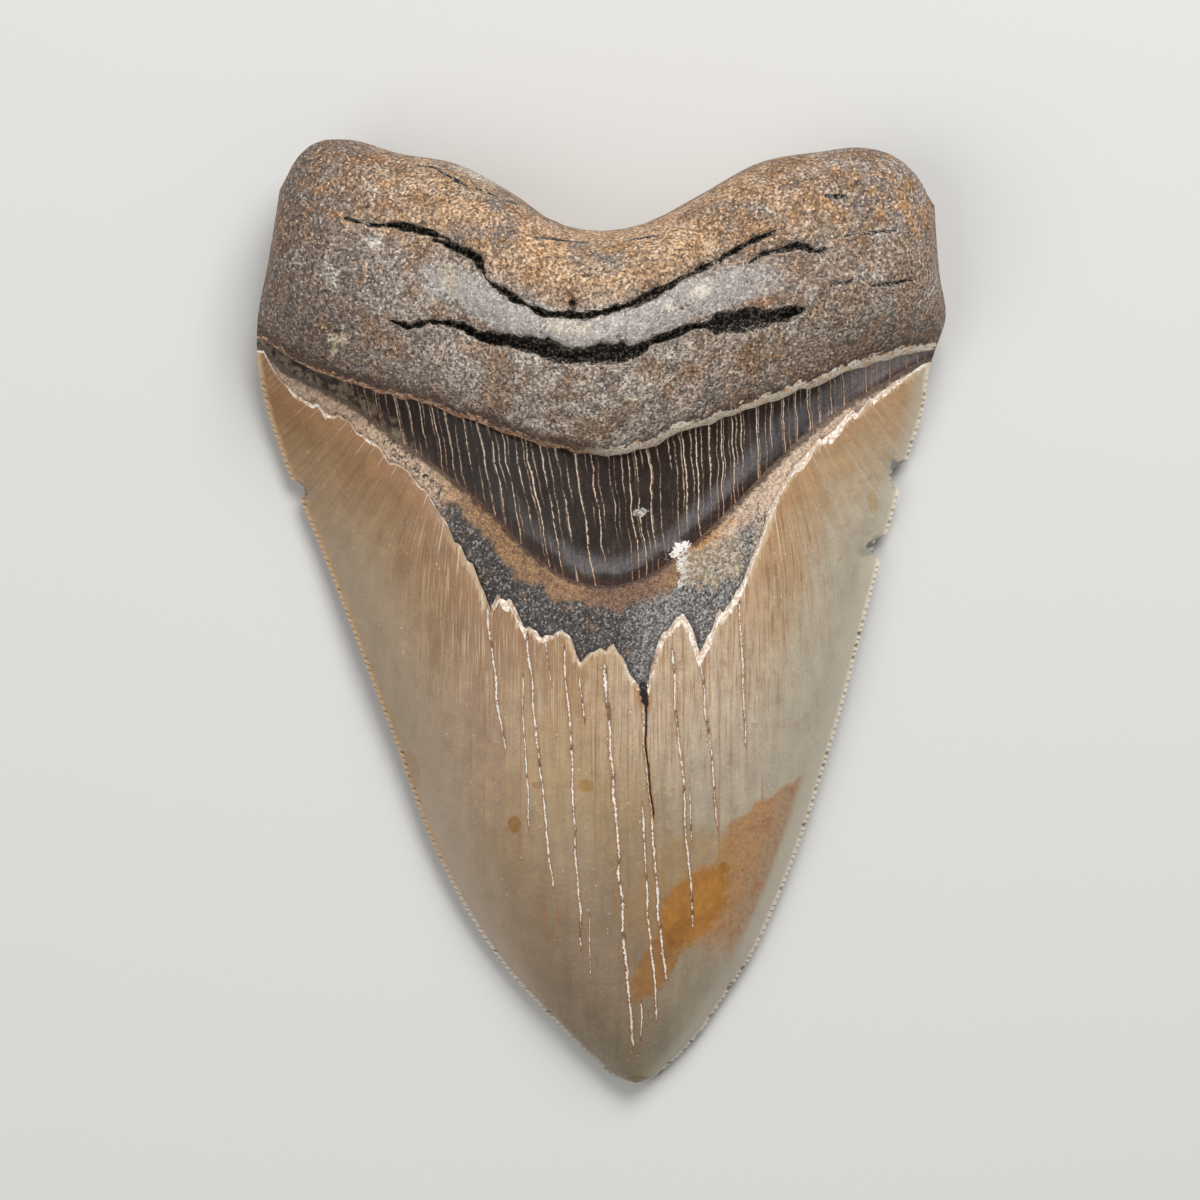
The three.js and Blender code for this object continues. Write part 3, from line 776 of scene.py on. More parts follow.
# What each point of the mesh tells its finish.
VALUES = (
    "rim_mm", "foot_mm", "lip_mm", "edge_mm", "growth_mm", "crest_mm", "fissure", "crust", "notch",
    "lingual",
)

# Long cracks in the enamel: x and y at the top, x and y at the bottom, width.
ENAMEL_CRACKS = [
    (-14.3, 1.5, -12.1, -17.2, 0.28), (-9.8, -7.8, -8.9, -27.2, 0.2), (-9.3, -2.3, -5.9, -34.8, 0.26),
    (-7, -3.2, -6.2, -8.9, 0.2), (-4.5, -3.7, -2.4, -42.8, 0.28), (-2.5, -8, -2, -14, 0.24),
    (0.5, -6.2, 4.2, -55.6, 0.36), (5, -8.9, 8.3, -46.9, 0.34), (5.2, -24, 7.1, -51.9, 0.26),
    (9, -4.5, 12, -39.8, 0.28), (12.6, -4, 14.9, -27.2, 0.24), (17.5, 1.5, 18.5, -17.2, 0.26),
    (5.2, -49.3, 5.2, -55, 0.2), (-1.6, -38, -0.9, -47, 0.16), (11.2, -21, 11.8, -29, 0.16),
]
CRACK_END_MM = 1  # a crack starts to taper this far before its end
CRACK_END = 3  # and past its end it counts as this many half widths away
NO_CRACK = 9  # half widths away, farther than any crack shows
OPEN_CRACKS = [(5.2, -6, 5.6, -12, 1), (5.5, -11, 6.6, -26, 0.26)]  # the one that gapes, dark inside


def linear(code):
    """An sRGB hex colour as linear red, green, blue and alpha."""
    shares = [int(code[i:i + 2], 16) / 255 for i in (0, 2, 4)]
    return [s / 12.92 if s <= 0.04045 else ((s + 0.055) / 1.055) ** 2.4 for s in shares] + [1]


def feed(node, inputs):
    """Sets a node's inputs, each by a value or by a link."""
    for name, value in inputs.items():
        if isinstance(value, bpy.types.NodeSocket):
            node.id_data.links.new(value, node.inputs[name])
        else:
            node.inputs[name].default_value = value


def add(tree, kind, inputs=None, **settings):
    """Adds a shader node with its settings and links."""
    node = tree.nodes.new("ShaderNode" + kind)
    for name, value in settings.items():
        setattr(node, name, value)
    feed(node, inputs or {})
    return node


def within(tree, *limits, most=1):
    """The product of steps, each (value, where it starts to count, where it counts in full)."""
    share = most
    for value, start, full in limits:
        step = add(
            tree, "MapRange", {"Value": value, "From Min": start, "From Max": full, "To Max": 1},
            interpolation_type="SMOOTHSTEP",
        )
        share = add(tree, "Math", {0: step.outputs[0], 1: share}, operation="MULTIPLY").outputs[0]
    return share


def paint(tree, under, over, *limits, most=1):
    """Lays a colour, or a hex code, over what is under it, wherever every value has passed its limits."""
    if isinstance(over, str):
        over = linear(over)
    colours = {FACTOR: within(tree, *limits, most=most), UNDER: under, OVER: over}
    return add(tree, "Mix", colours, data_type="RGBA").outputs[MIXED]


def ragged(tree, value, noise, reach):
    """A value moved up and down by a noise from 0 to 1, by about a quarter of reach each way."""
    moved = add(tree, "Math", {0: noise, 1: reach, 2: value}, operation="MULTIPLY_ADD").outputs[0]
    return add(tree, "Math", {0: moved, 1: reach / 2}, operation="SUBTRACT").outputs[0]


def oval(tree, flat, centre, radii, turn):
    """How far out a point lies in an oval patch: 0 in its middle, 1 on its rim."""
    place = {"Location": (*centre, 0), "Rotation": (0, 0, np.radians(turn)), "Scale": (*radii, 1)}
    moved = add(tree, "Mapping", {"Vector": flat, **place}, vector_type="TEXTURE")
    return add(tree, "VectorMath", {0: moved.outputs[0]}, operation="LENGTH").outputs["Value"]


def line_cracks(tree, x, y, cracks):
    """Distance to the nearest of some straight cracks, in half widths of that crack."""
    nearest = NO_CRACK
    for top_x, top_y, foot_x, foot_y, width in cracks:
        slope = (top_x - foot_x) / (top_y - foot_y)
        middle_x = add(tree, "Math", {0: y, 1: slope, 2: top_x - slope * top_y}, operation="MULTIPLY_ADD")
        offset = add(tree, "Math", {0: x, 1: middle_x.outputs[0]}, operation="SUBTRACT").outputs[0]
        away = add(tree, "Math", {0: offset}, operation="ABSOLUTE").outputs[0]
        scaled = add(tree, "Math", {0: away, 1: 2 / width}, operation="MULTIPLY").outputs[0]
        centre_y, reach = (top_y + foot_y) / 2, (top_y - foot_y) / 2
        along = add(tree, "Math", {0: y, 1: centre_y}, operation="SUBTRACT").outputs[0]
        past = add(tree, "Math", {0: along}, operation="ABSOLUTE").outputs[0]
        ends = within(tree, (past, reach - CRACK_END_MM, reach + 2 * CRACK_END_MM), most=CRACK_END)
        total = add(tree, "Math", {0: scaled, 1: ends}, operation="ADD").outputs[0]
        nearest = add(tree, "Math", {0: total, 1: nearest}, operation="MINIMUM").outputs[0]
    return nearest


def splits(tree, along, spacing):
    """Distance in millimetres to the nearest of some random splits, about spacing apart along a value."""
    inputs = {"W": along, "Scale": 1 / spacing, "Randomness": 1}
    cells = add(tree, "TexVoronoi", inputs, voronoi_dimensions="1D", feature="DISTANCE_TO_EDGE")
    return add(tree, "Math", {0: cells.outputs[0], 1: spacing}, operation="MULTIPLY").outputs[0]


class Canvas:
    """A new material, with its first colour and what its patterns start from."""

    def __init__(self, name, code):
        self.colour = linear(code)
        self.material = bpy.data.materials.new(name)
        self.material.use_nodes = True
        self.tree = self.material.node_tree
        at = add(self.tree, "TexCoord").outputs["Object"]
        in_mm = {0: at, 1: [1 / MM] * 3}
        self.place = add(self.tree, "VectorMath", in_mm, operation="MULTIPLY").outputs[0]
        flattened = {0: self.place, 1: (1, 1, 0)}
        self.flat = add(self.tree, "VectorMath", flattened, operation="MULTIPLY").outputs[0]
        parts = add(self.tree, "SeparateXYZ", {0: self.place})
        self.x, self.y = parts.outputs[0], parts.outputs[1]
        for value in VALUES:
            setattr(self, value, add(self.tree, "Attribute", attribute_name=value).outputs["Fac"])

    def clouds(self, size, detail=3, stretch=(1, 1, 1), start=None):
        """Noise about size millimetres across, from 0 to 1."""
        stretched = {0: start or self.place, 1: stretch}
        moved = add(self.tree, "VectorMath", stretched, operation="MULTIPLY").outputs[0]
        inputs = {"Vector": moved, "Scale": 1 / size, "Detail": detail, "Roughness": 0.6}
        return add(self.tree, "TexNoise", inputs).outputs["Fac"]

    def grains(self, size):
        """Packed grains about size millimetres across: a random shade for each, and how far it bulges."""
        cells = add(self.tree, "TexVoronoi", {"Vector": self.place, "Scale": 1 / size})
        shade = add(self.tree, "RGBToBW", {0: cells.outputs["Color"]}).outputs[0]
        away = cells.outputs["Distance"]
        bulge = add(self.tree, "Math", {0: 1, 1: away}, operation="SUBTRACT").outputs[0]
        return shade, bulge

    def shade(self, colour, pattern, contrast, calm=1):
        """Makes a colour lighter and darker by a pattern from 0 to 1, less so where calm is low."""
        value = add(self.tree, "MapRange", {
            "Value": pattern, "From Min": 0.25, "From Max": 0.75, "To Min": -contrast, "To Max": contrast,
        }).outputs[0]
        share = add(self.tree, "Math", {0: value, 1: calm, 2: 1}, operation="MULTIPLY_ADD").outputs[0]
        return add(self.tree, "HueSaturation", {"Color": colour, "Value": share}).outputs[0]

    def relief(self, *layers):
        """A normal from patterns laid over each other, each from 0 to 1 with its height in millimetres."""
        above = {}
        for pattern, height in layers:
            inputs = {"Height": pattern, "Distance": height * MM, **above}
            above = {"Normal": add(self.tree, "Bump", inputs).outputs[0]}
        return above["Normal"]

    def lay(self, over, *limits, most=1):
        """Lays a colour over what the canvas has so far."""
        self.colour = paint(self.tree, self.colour, over, *limits, most=most)

    def finish(self, **inputs):
        """The material, with the colours laid so far and with other inputs of its shader."""
        feed(self.tree.nodes["Principled BSDF"], {"Base Color": self.colour, **inputs})
        return self.material


# Patches on the root: centre, radii, turn, colour and how strongly it covers.
ROOT_PATCHES = [
    ((-28.3, 46.3), (1.2, 1), 0, "c4bdad", 0.95), ((-33.7, 42.2), (1, 2.4), 15, "a8a297", 0.8),
    ((-18.9, 42), (1.1, 2.6), 18, "b9ab96", 0.7), ((-38, 44.6), (0.6, 1.2), 0, "9c948a", 0.5),
    ((-15.6, 55.3), (4, 1.1), -22, "bfb7a8", 0.8), ((-33, 34.9), (1.4, 1.6), 10, "c0b39d", 0.75),
    ((-33.6, 32.8), (0.5, 1.2), -20, "c7b596", 0.6), ((28.2, 53.6), (1.7, 1), 10, "b3a597", 0.7),
    ((39.3, 48.6), (0.5, 2.6), 22, "c08f55", 0.6), ((12.6, 39.9), (1.8, 1.2), 15, "d4c9ba", 0.7),
    ((-4.2, 35.3), (3.6, 1.1), -6, "c8bba8", 0.7), ((9, 38), (1.1, 1), 0, "cdc3b4", 0.6),
    ((40.3, 38.9), (0.22, 2.7), -52, "b3aba2", 0.8), ((42, 41), (0.2, 1.6), -25, "b3aba2", 0.8),
    ((-28.8, 57.2), (2.6, 1), 10, "8d5f35", 0.5), ((20, 38.6), (2.6, 1), 8, "a8714a", 0.45),
    ((32.4, 54), (0.7, 0.5), 0, "3f352d", 0.7), ((-0.3, 20.8), (0.5, 3), 4, "cbb08c", 0.5),
    ((-33, 35.5), (0.7, 0.45), 0, "332c26", 0.9), ((-3.4, 38.1), (0.6, 1.4), 0, "1d1712", 0.95),
    ((-1.7, 41.9), (0.8, 0.22), 0, "2a211b", 0.8),
]


def porous_root_dentine():
    """Fossil root: dull and open-pored, so that light and dark grains mix like salt and pepper."""
    on = Canvas("porous_root_dentine", "978b81")
    tree, x, lip_mm, crest_mm, lingual = on.tree, on.x, on.lip_mm, on.crest_mm, on.lingual
    grain, bulge = on.grains(GRAIN_MM)
    crumbs, patches, blots = on.clouds(1.1, 4), on.clouds(8, 4), on.clouds(2.6, 4)
    rust, fine = on.clouds(1.7, 4), on.clouds(GRAIN_MM * 1.1, 2)
    spread = add(tree, "Math", {0: x}, operation="ABSOLUTE").outputs[0]
    on.lay("7b6c60", (patches, 0.52, 0.38), most=0.65)
    on.lay("715f53", (x, -24, -36), most=0.75)
    on.lay("bfb1a2", (spread, 30, 10), (crest_mm, 1, -4), (blots, 0.34, 0.56), most=0.8)
    on.lay("8a6f58", (x, 6, 20), (blots, 0.36, 0.56), most=0.65)
    on.lay("bb966f", (crest_mm, 2, 7), (spread, 36, 18), (patches, 0.34, 0.56), most=0.75)
    on.lay("a97c4a", (crest_mm, 2, 8), (blots, 0.5, 0.62), most=0.6)
    on.lay("6d5848", (crest_mm, 11, 17), (blots, 0.36, 0.56), most=0.65)
    # Painted shade on the root's lower slope towards its lip, which faces away from the light.
    shaded = ragged(tree, lip_mm, blots, 5)
    on.lay("64493a", (shaded, 4, 0.5), (x, 4, -14), most=0.6)
    on.lay("4d4034", (shaded, 5, 0.5), (x, 2, 18), (lingual, 0.2, 0.8), most=0.6)
    smooth = within(
        tree, (crest_mm, -3.8, -0.8), (crest_mm, 4.5, 1.2), (spread, 30, 14), (blots, 0.26, 0.5),
    )
    pale = within(tree, (smooth, 0, 1), (lingual, 0.2, 0.8))
    on.lay("b2aca7", (pale, 0.05, 0.9), most=0.75)
    for centre, radii, turn, code, most in ROOT_PATCHES:
        rim = ragged(tree, oval(tree, on.flat, centre, radii, turn), crumbs, 1.4)
        on.lay(code, (rim, 1.15, 0.6), (lingual, 0.2, 0.8), most=most)
    calm = add(tree, "MapRange", {"Value": pale, "To Min": 1, "To Max": 0.5}).outputs[0]
    on.lay("83603f", (on.clouds(5, 4), 0.5, 0.62), (pale, 0.6, 0.1), most=0.6)
    on.lay("b07a44", (rust, 0.56, 0.68), (pale, 0.6, 0.1), most=0.35)
    on.colour = on.shade(on.colour, grain, 0.5, calm)
    on.colour = on.shade(on.colour, fine, 0.7, calm)
    # Pale grains, partly their own colour and partly painted glints.
    on.lay("f0e4d2", (grain, 0.7, 0.8), (fine, 0.5, 0.6), most=0.5)
    on.lay("2f2721", (fine, 0.42, 0.3), (pale, 0.9, 0.3), most=0.6)
    crust = ragged(tree, ragged(tree, lip_mm, on.clouds(0.9, 4), 2), blots, 1)
    # Painted shade in a dark band just over the lip, above its crust.
    on.lay("452f25", (crust, 2, 1), (lingual, 0.5, 1), most=0.7)
    left_crust = paint(tree, linear("9b6f54"), "e2bc9c", (grain, 0.5, 0.6))
    # The right crust is whitened past its own cream as painted light, since the lip faces away from the key
    # light.
    right_crust = paint(tree, linear("e8c196"), "fff8ea", (grain, 0.38, 0.48))
    on.lay(left_crust, (crust, 0.7, 0.4), (x, 4, -4), (lingual, 0.5, 1), most=0.9)
    on.lay(right_crust, (crust, 1.1, 0.85), (x, -4, 4), (lingual, 0.5, 1), most=0.95)
    rubble, grit = on.clouds(0.55, 3, start=on.flat), on.clouds(0.3, 2, start=on.flat)
    torn = ragged(tree, ragged(tree, on.fissure, on.clouds(1.1, 4, start=on.flat), 0.8), rubble, 0.45)
    inside = paint(tree, linear("1d1712"), "a39789", (rubble, 0.48, 0.54), (grit, 0.46, 0.54), most=0.8)
    on.lay("cfc4b6", (torn, 0.22, 0.28), (torn, 0.36, 0.3), (on.fissure, 0.02, 0.1), most=0.45)
    on.lay(inside, (torn, 0.35, 0.4), (on.fissure, 0.08, 0.16))
    normal = on.relief((on.clouds(1.6), 0.3), (bulge, 0.1), (fine, 0.16))
    return on.finish(Roughness=0.66, IOR=1.5, Normal=normal)


def satin_bourlette():
    """The dark band: dense black dentine with a satin sheen, partly painted, split by cream-filled cracks.
    """
    on = Canvas("satin_bourlette", "2e241e")
    tree, x, y, lip_mm = on.tree, on.x, on.y, on.lip_mm
    over_foot = add(tree, "Math", {0: on.foot_mm}, operation="ABSOLUTE").outputs[0]
    clouds, fine, grain = on.clouds(4, 4), on.clouds(0.4, 2), on.clouds(1, 4)
    brushed = on.clouds(0.5, 3, (1, 0.12, 0.12))
    on.lay("3f332c", (clouds, 0.46, 0.62), most=0.7)
    on.lay("20150f", (x, 2, -10), most=0.65)
    # Painted shadow under the root's lip: darker within a few millimetres of it.
    on.lay("2a1c15", (lip_mm, 4.5, 0.5), most=0.85)
    # Painted sheen: a lighter grey band above the foot, greyer still towards the right end.
    sheen = ragged(tree, over_foot, clouds, 3)
    on.lay("6e6a6b", (sheen, 1, 2), (sheen, 4.4, 2.4), (x, -16, 2), most=0.75)
    on.lay("555357", (x, 14, 24), (clouds, 0.32, 0.55), (lip_mm, 0.5, 3), most=0.75)
    on.lay("9a9190", (x, 29, 35), (clouds, 0.26, 0.46), most=0.7)
    on.lay("3a2117", (over_foot, 1.2, 0.2), most=0.85)
    scale = ragged(tree, over_foot, clouds, 7)
    scaly = paint(tree, linear("83755f"), "463c32", (grain, 0.48, 0.56))
    on.lay(scaly, (x, -21, -25), (scale, 1.8, 0.8), most=0.85)
    on.colour = on.shade(on.colour, brushed, 0.4)
    on.colour = on.shade(on.colour, fine, 0.4)
    lean = add(tree, "MapRange", {
        "Value": x, "From Min": -10, "From Max": 12, "To Min": 0.2, "To Max": 0.04,
    })
    tilt = add(tree, "Math", {0: y, 1: lean.outputs[0], 2: x}, operation="MULTIPLY_ADD").outputs[0]
    bent = ragged(tree, ragged(tree, tilt, on.clouds(5, 1), 1), on.clouds(0.8, 2), 0.3)
    ends = on.clouds(1.2, 2, (1, 0.1, 0))
    fading = add(tree, "Math", {0: lip_mm, 1: -0.008, 2: ends}, operation="MULTIPLY_ADD").outputs[0]
    cream = paint(tree, linear("f2e0c8"), "c99a6a", (over_foot, 5, 0.5), most=0.7)
    cream = on.shade(cream, fine, 0.4)
    for spacing, width, start, most in (
        (CRACK_SPACING_MM * 0.6, 0.04, 0.36, 0.65), (CRACK_SPACING_MM, 0.05, 0.28, 1),
    ):
        beaded = ragged(tree, splits(tree, bent, spacing), fine, 0.25)
        worn = add(tree, "MapRange", {
            "Value": fading, "From Min": start, "From Max": start + 0.25, "To Max": width,
        }).outputs[0]
        room = add(tree, "Math", {0: worn, 1: beaded}, operation="SUBTRACT").outputs[0]
        on.lay("6b4a36", (room, -0.16, -0.02), (worn, 0, 0.03), (x, -38, -22), most=0.5)
        on.lay(cream, (room, -0.03, 0.03), (worn, 0, 0.03), (x, -38, -22), most=most)
    salt = ragged(tree, ragged(tree, on.crust, grain, 1.2), fine, 1.2)
    salty = paint(tree, linear("f2ede4"), "8b8073", (fine, 0.48, 0.4))
    on.lay(salty, (salt, 0.2, 0.35), (on.crust, 0, 0.1), most=0.95)
    speck = ragged(tree, oval(tree, on.flat, (5.1, 12.7), (0.9, 0.6), 15), on.clouds(0.7, 3), 2)
    crystal = paint(tree, linear("d8d2c8"), "86807a", (fine, 0.45, 0.55))
    on.lay(crystal, (speck, 1, 0.75), most=0.85)
    normal = on.relief((clouds, 0.2), (fine, 0.06))
    return on.finish(Roughness=0.4, IOR=1.38, Normal=normal)


def grainy_dentine():
    """Dentine where the enamel has broken away: black and grainy, rust-stained under the dark band."""
    on = Canvas("grainy_dentine", "48433f")
    tree, x, rim_mm = on.tree, on.x, on.rim_mm
    grain, bulge = on.grains(DENTINE_GRAIN_MM)
    crumbs, clouds, fine = on.clouds(0.9, 4), on.clouds(3.2, 4), on.clouds(DENTINE_GRAIN_MM, 2)
    on.lay("86643f", (clouds, 0.53, 0.66), (crumbs, 0.42, 0.55), most=0.6)
    on.lay("5c4a3d", (x, -9, -3), (x, 12, 6), (on.foot_mm, 5, 2), (crumbs, 0.4, 0.5), most=0.8)
    on.lay("332d29", (x, -8, -14), most=0.5)
    # Painted sheen: lighter grey towards the right.
    on.lay("8d8884", (x, 2, 7), most=0.65)
    rust = paint(tree, linear("a07a55"), "85624a", (x, -5, 1), (x, 11, 6))
    rust = paint(tree, rust, "b5926f", (x, -13, -20))
    rust = paint(tree, rust, "c28d4e", (x, 9, 13))
    rust = paint(tree, rust, "d3b79c", (x, 13, 17), (clouds, 0.28, 0.42))
    reach = ragged(tree, ragged(tree, on.foot_mm, clouds, 6), crumbs, 2)
    rust = paint(tree, rust, "6b4a32", (crumbs, 0.48, 0.38), most=0.6)
    on.lay(rust, (reach, 3.2, 1.8), most=0.92)
    on.lay("c6ab93", (x, -18, -23), (clouds, 0.26, 0.42), most=0.9)
    on.lay("8d7863", (x, -18, -23), (crumbs, 0.56, 0.64), most=0.7)
    on.lay("c7ad95", (x, 18, 22), (clouds, 0.26, 0.42), most=0.9)
    for centre, radii, turn, code in (
        ((-24.4, 19), (3.4, 1.2), -38, "1e2620"), ((-21.2, 16.2), (2.6, 1), -38, "262e27"),
        ((-26.8, 21.6), (2, 0.8), -38, "2c332c"),
    ):
        rim = ragged(tree, oval(tree, on.flat, centre, radii, turn), crumbs, 1.4)
        on.lay(code, (rim, 1.1, 0.7), (on.clouds(0.4, 3), 0.51, 0.57), most=0.85)
    stained = within(tree, (reach, 3.8, 2.2))
    calm = add(tree, "MapRange", {"Value": stained, "To Min": 1, "To Max": 0.45}).outputs[0]
    on.colour = on.shade(on.colour, grain, 0.6, calm)
    on.colour = on.shade(on.colour, fine, 0.75, calm)
    # Painted glints: pale bluish grey on the lightest grains.
    on.lay("b4b4b6", (grain, 0.62, 0.74), (fine, 0.46, 0.56), (stained, 1, 0.4), most=0.5)
    on.lay("17130f", (fine, 0.44, 0.32), (stained, 1, 0.3), most=0.6)
    lace = on.clouds(0.5, 3)
    mineral = paint(tree, linear("94836c"), "cfc3b0", (lace, 0.46, 0.58))
    mineral = paint(tree, mineral, "f4f0e8", (x, 11.4, 10.2), (lace, 0.38, 0.48))
    mineral = paint(tree, mineral, "b3854f", (crumbs, 0.54, 0.62), (lace, 0.56, 0.46), most=0.6)
    mineral = paint(tree, mineral, "5d5244", (fine, 0.44, 0.34), most=0.6)
    lacy = ragged(tree, ragged(tree, on.crust, crumbs, 1.6), fine, 0.8)
    on.lay(mineral, (lacy, 0.25, 0.5), (on.crust, 0, 0.1), most=0.88)
    hem = ragged(tree, on.foot_mm, crumbs, 1.4)
    on.lay("34211a", (hem, 0.7, 0.2), (on.crust, 0.2, 0), most=0.8)
    on.lay("1a1716", (rim_mm, 0.7, 0.1), (on.crust, 0.3, 0), most=0.6)
    normal = on.relief((on.clouds(0.8), 0.25), (fine, 0.16), (bulge, 0.08))
    return on.finish(Roughness=0.5, IOR=1.52, Normal=normal)


def broken_enamel():
    """The broken edge of the enamel: chalky, pale and fibrous, with a little brown left in its steps."""
    on = Canvas("broken_enamel", "e3ccb4")
    tree = on.tree
    grain, clouds, fibres = on.clouds(0.5, 3), on.clouds(1.6, 3), on.clouds(FIBRE_MM, 2, (1, 0.2, 0.2))
    on.lay("fbf2e8", (grain, 0.44, 0.56), most=0.9)
    on.lay("b3845a", (fibres, 0.56, 0.68), most=0.7)
    on.lay("ab8154", (clouds, 0.48, 0.56), (on.x, 12, 6), most=0.55)
    on.colour = on.shade(on.colour, grain, 0.25)
    gape = ragged(tree, line_cracks(tree, on.x, on.y, OPEN_CRACKS), grain, 1)
    on.lay("17130f", (gape, 1.2, 0.9), (on.lingual, 0.5, 1))
    return on.finish(Roughness=0.6, IOR=1.55, Normal=on.relief((grain, 0.2), (fibres, 0.1)))


# Stains on the enamel: centre, radii, turn, colour and how strongly it covers.
ENAMEL_STAINS = [
    ((10.8, -35), (6.4, 9), -35, "a67f4a", 0.4), ((11.8, -37.3), (3.6, 6.2), -35, "a8702a", 0.9),
    ((7.2, -44.6), (2.2, 5.8), -33, "996728", 0.75), ((13.4, -36), (1.4, 3), -35, "b98137", 0.5),
    ((9.6, -41), (1.2, 3.4), -33, "84541f", 0.4),
    ((-10.8, -26.8), (0.9, 1.1), 0, "93631f", 0.95), ((-1.8, -21.8), (1.1, 0.9), 0, "9b7428", 0.9),
    ((-7.9, -21.8), (0.8, 0.45), -10, "946a30", 0.8), ((15.7, -32.4), (0.9, 0.75), 0, "a06d2c", 0.85),
    ((4.8, -59.8), (1.8, 0.7), 0, "76593a", 0.6), ((-24, -20), (1, 2.6), 10, "98743f", 0.35),
    ((34.8, 14.2), (0.7, 1.6), 10, "b0904f", 0.5), ((-28.8, 18.4), (1, 1.4), 0, "b07e45", 0.4),
]
# Fresh chips on the cutting edges, which show the grey inside: centre, radii, turn, colour.
CHIP_SPOTS = [
    ((37.9, 17.6), (0.8, 2), 8, "7b7d84"), ((34.4, 8), (1.8, 0.7), 15, "9a958c"),
    ((35.8, 8.2), (0.7, 0.9), 0, "7a5348"), ((35, 9), (1.3, 0.4), 35, "4c4744"),
    ((-37.9, 15.3), (0.6, 0.9), 0, "6d6e72"),
]


